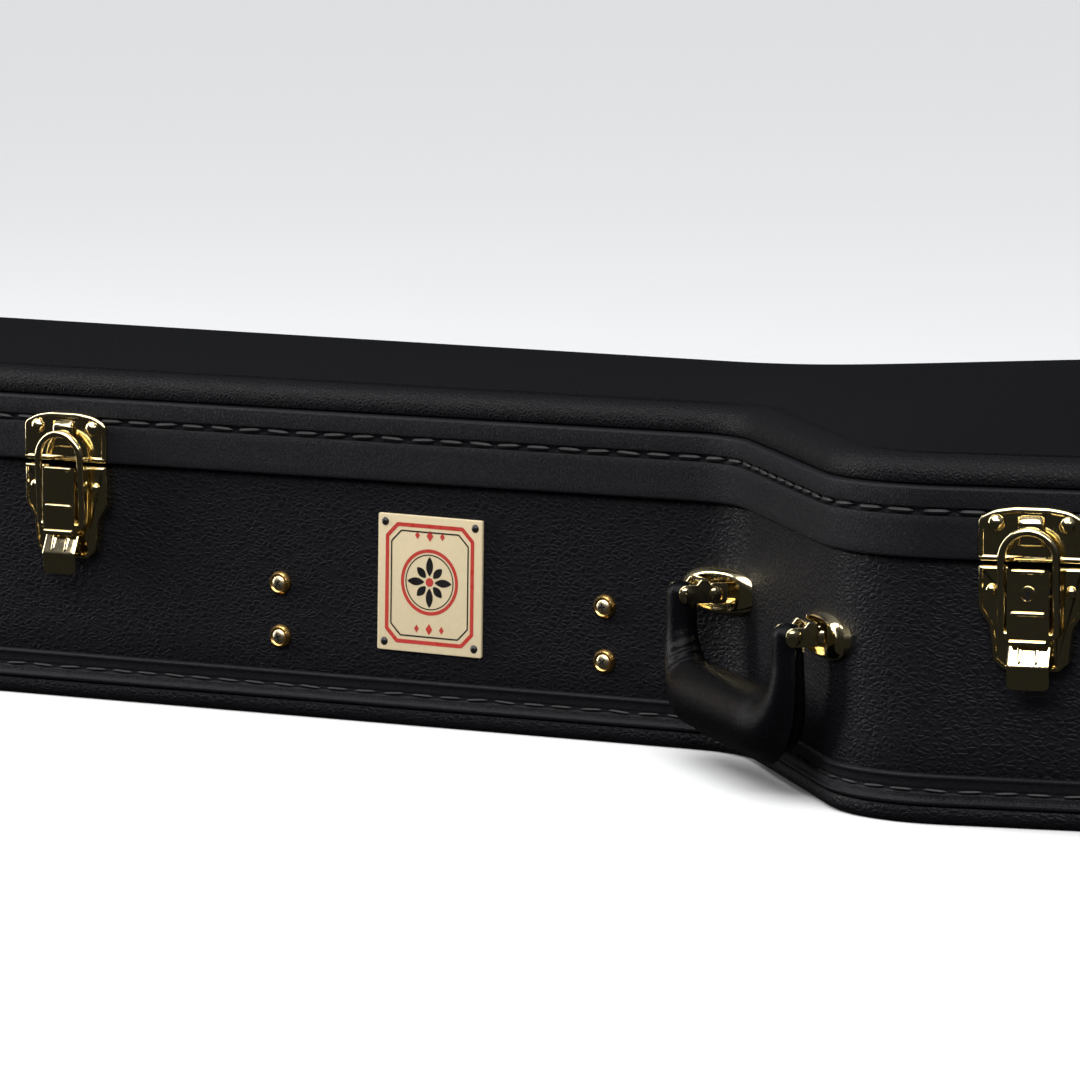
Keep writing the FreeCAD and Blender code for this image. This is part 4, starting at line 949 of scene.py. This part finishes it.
# ---------------------------------------------------------------- studio
# where the camera stands, how far it is turned from the case's short axis and how far it looks down
CAMERA_AT, CAMERA_TURN, CAMERA_DIP, CAMERA_LENS = (1280.4, -2256.0, 383.1), 33.06, 6.71, 235.17
# area lights: name, azimuth, elevation, width, height, watts; azimuth 0 is the handle side, 90 the head end
STRIPS = (("left_strip", 78, 22, 0.5, 2.2, 26), ("front_strip", -24, 38, 2.6, 0.35, 26))
STRIP_DISTANCE = 2.4


def towards(azimuth, elevation):
    """Unit vector from the case to a light."""
    a, e = np.radians(azimuth), np.radians(elevation)
    return np.array([-np.sin(a) * np.cos(e), -np.cos(a) * np.cos(e), np.sin(e)])


def set_up(name, data, right, back, at):
    """Camera or light at a place in metres, looking along minus its back axis."""
    made = bpy.data.objects.new(name, data)
    columns = np.column_stack([right, np.cross(back, right), back, at])
    made.matrix_world = Matrix(np.vstack([columns, (0, 0, 0, 1)]).tolist())
    bpy.context.scene.collection.objects.link(made)
    return made


def make_floor():
    """Pale floor that lights the case but isn't mirrored in its hardware."""
    far = 30.0
    mesh = bpy.data.meshes.new("studio_floor")
    mesh.from_pydata([(-far, -far, 0), (far, -far, 0), (far, far, 0), (-far, far, 0)], [], [[0, 1, 2, 3]])
    made, tree, _ = new_material("matte_white_paper")
    surfaced(tree, {"Base Color": linear("#f6f6f6"), "Roughness": 0.9})
    mesh.materials.append(made)
    floor = bpy.data.objects.new("studio_floor", mesh)
    bpy.context.scene.collection.objects.link(floor)
    floor.visible_glossy = False


def make_studio():
    """Light tent brighter overhead than at the sides, soft lamps and the camera."""
    scene = bpy.context.scene
    scene.world = bpy.data.worlds.new("studio")
    scene.world.use_nodes = True
    sky = scene.world.node_tree
    sky.nodes.clear()
    out = add(sky, "ShaderNodeOutputWorld")
    ray = add(sky, "ShaderNodeTexCoord")
    split = add(sky, "ShaderNodeSeparateXYZ", links={"Vector": ray.outputs["Generated"]})
    tent = add(sky, "ShaderNodeValToRGB", links={"Fac": split.outputs["Z"]})
    low, high = tent.color_ramp.elements[0], tent.color_ramp.elements[1]
    low.position, low.color = 0.0, linear("#3a3a38")
    high.position, high.color = 0.9, linear("#d8dce4")
    tent.color_ramp.elements.new(0.3).color = linear("#585a60")
    glow = add(sky, "ShaderNodeBackground", values={"Strength": 0.42}, links={"Color": tent.outputs["Color"]})
    sky.links.new(glow.outputs[0], out.inputs[0])

    overhead = bpy.data.lights.new("overhead_tent", "SUN")
    overhead.energy, overhead.angle = 2.3, np.radians(60)
    lamps = [(overhead, 15, 62, 3.0)]
    for name, azimuth, elevation, width, height, watts in STRIPS:
        strip_light = bpy.data.lights.new(name, "AREA")
        strip_light.shape, strip_light.size, strip_light.size_y = "RECTANGLE", width, height
        strip_light.energy = watts
        lamps.append((strip_light, azimuth, elevation, STRIP_DISTANCE))
    for light, azimuth, elevation, distance in lamps:
        back = towards(azimuth, elevation)
        set_up(light.name, light, unit(np.cross((0.0, 0.0, 1.0), back)), back, back * distance)

    turn, dip = np.radians(CAMERA_TURN), np.radians(CAMERA_DIP)
    back = np.array([np.sin(turn) * np.cos(dip), -np.cos(turn) * np.cos(dip), np.sin(dip)])
    data = bpy.data.cameras.new("camera")
    data.lens, data.sensor_width = CAMERA_LENS, 36.0
    data.clip_start, data.clip_end = 0.05, 100.0
    scene.camera = set_up("camera", data, (np.cos(turn), np.sin(turn), 0.0), back, np.array(CAMERA_AT) * MM)
    scene.view_settings.view_transform = "Standard"


make_base_shell()
make_lid_shell()
make_latches()
make_handle()
make_plaque()
make_wall_screws()
make_hinges_and_boards()
make_linings()
make_floor()
make_studio()
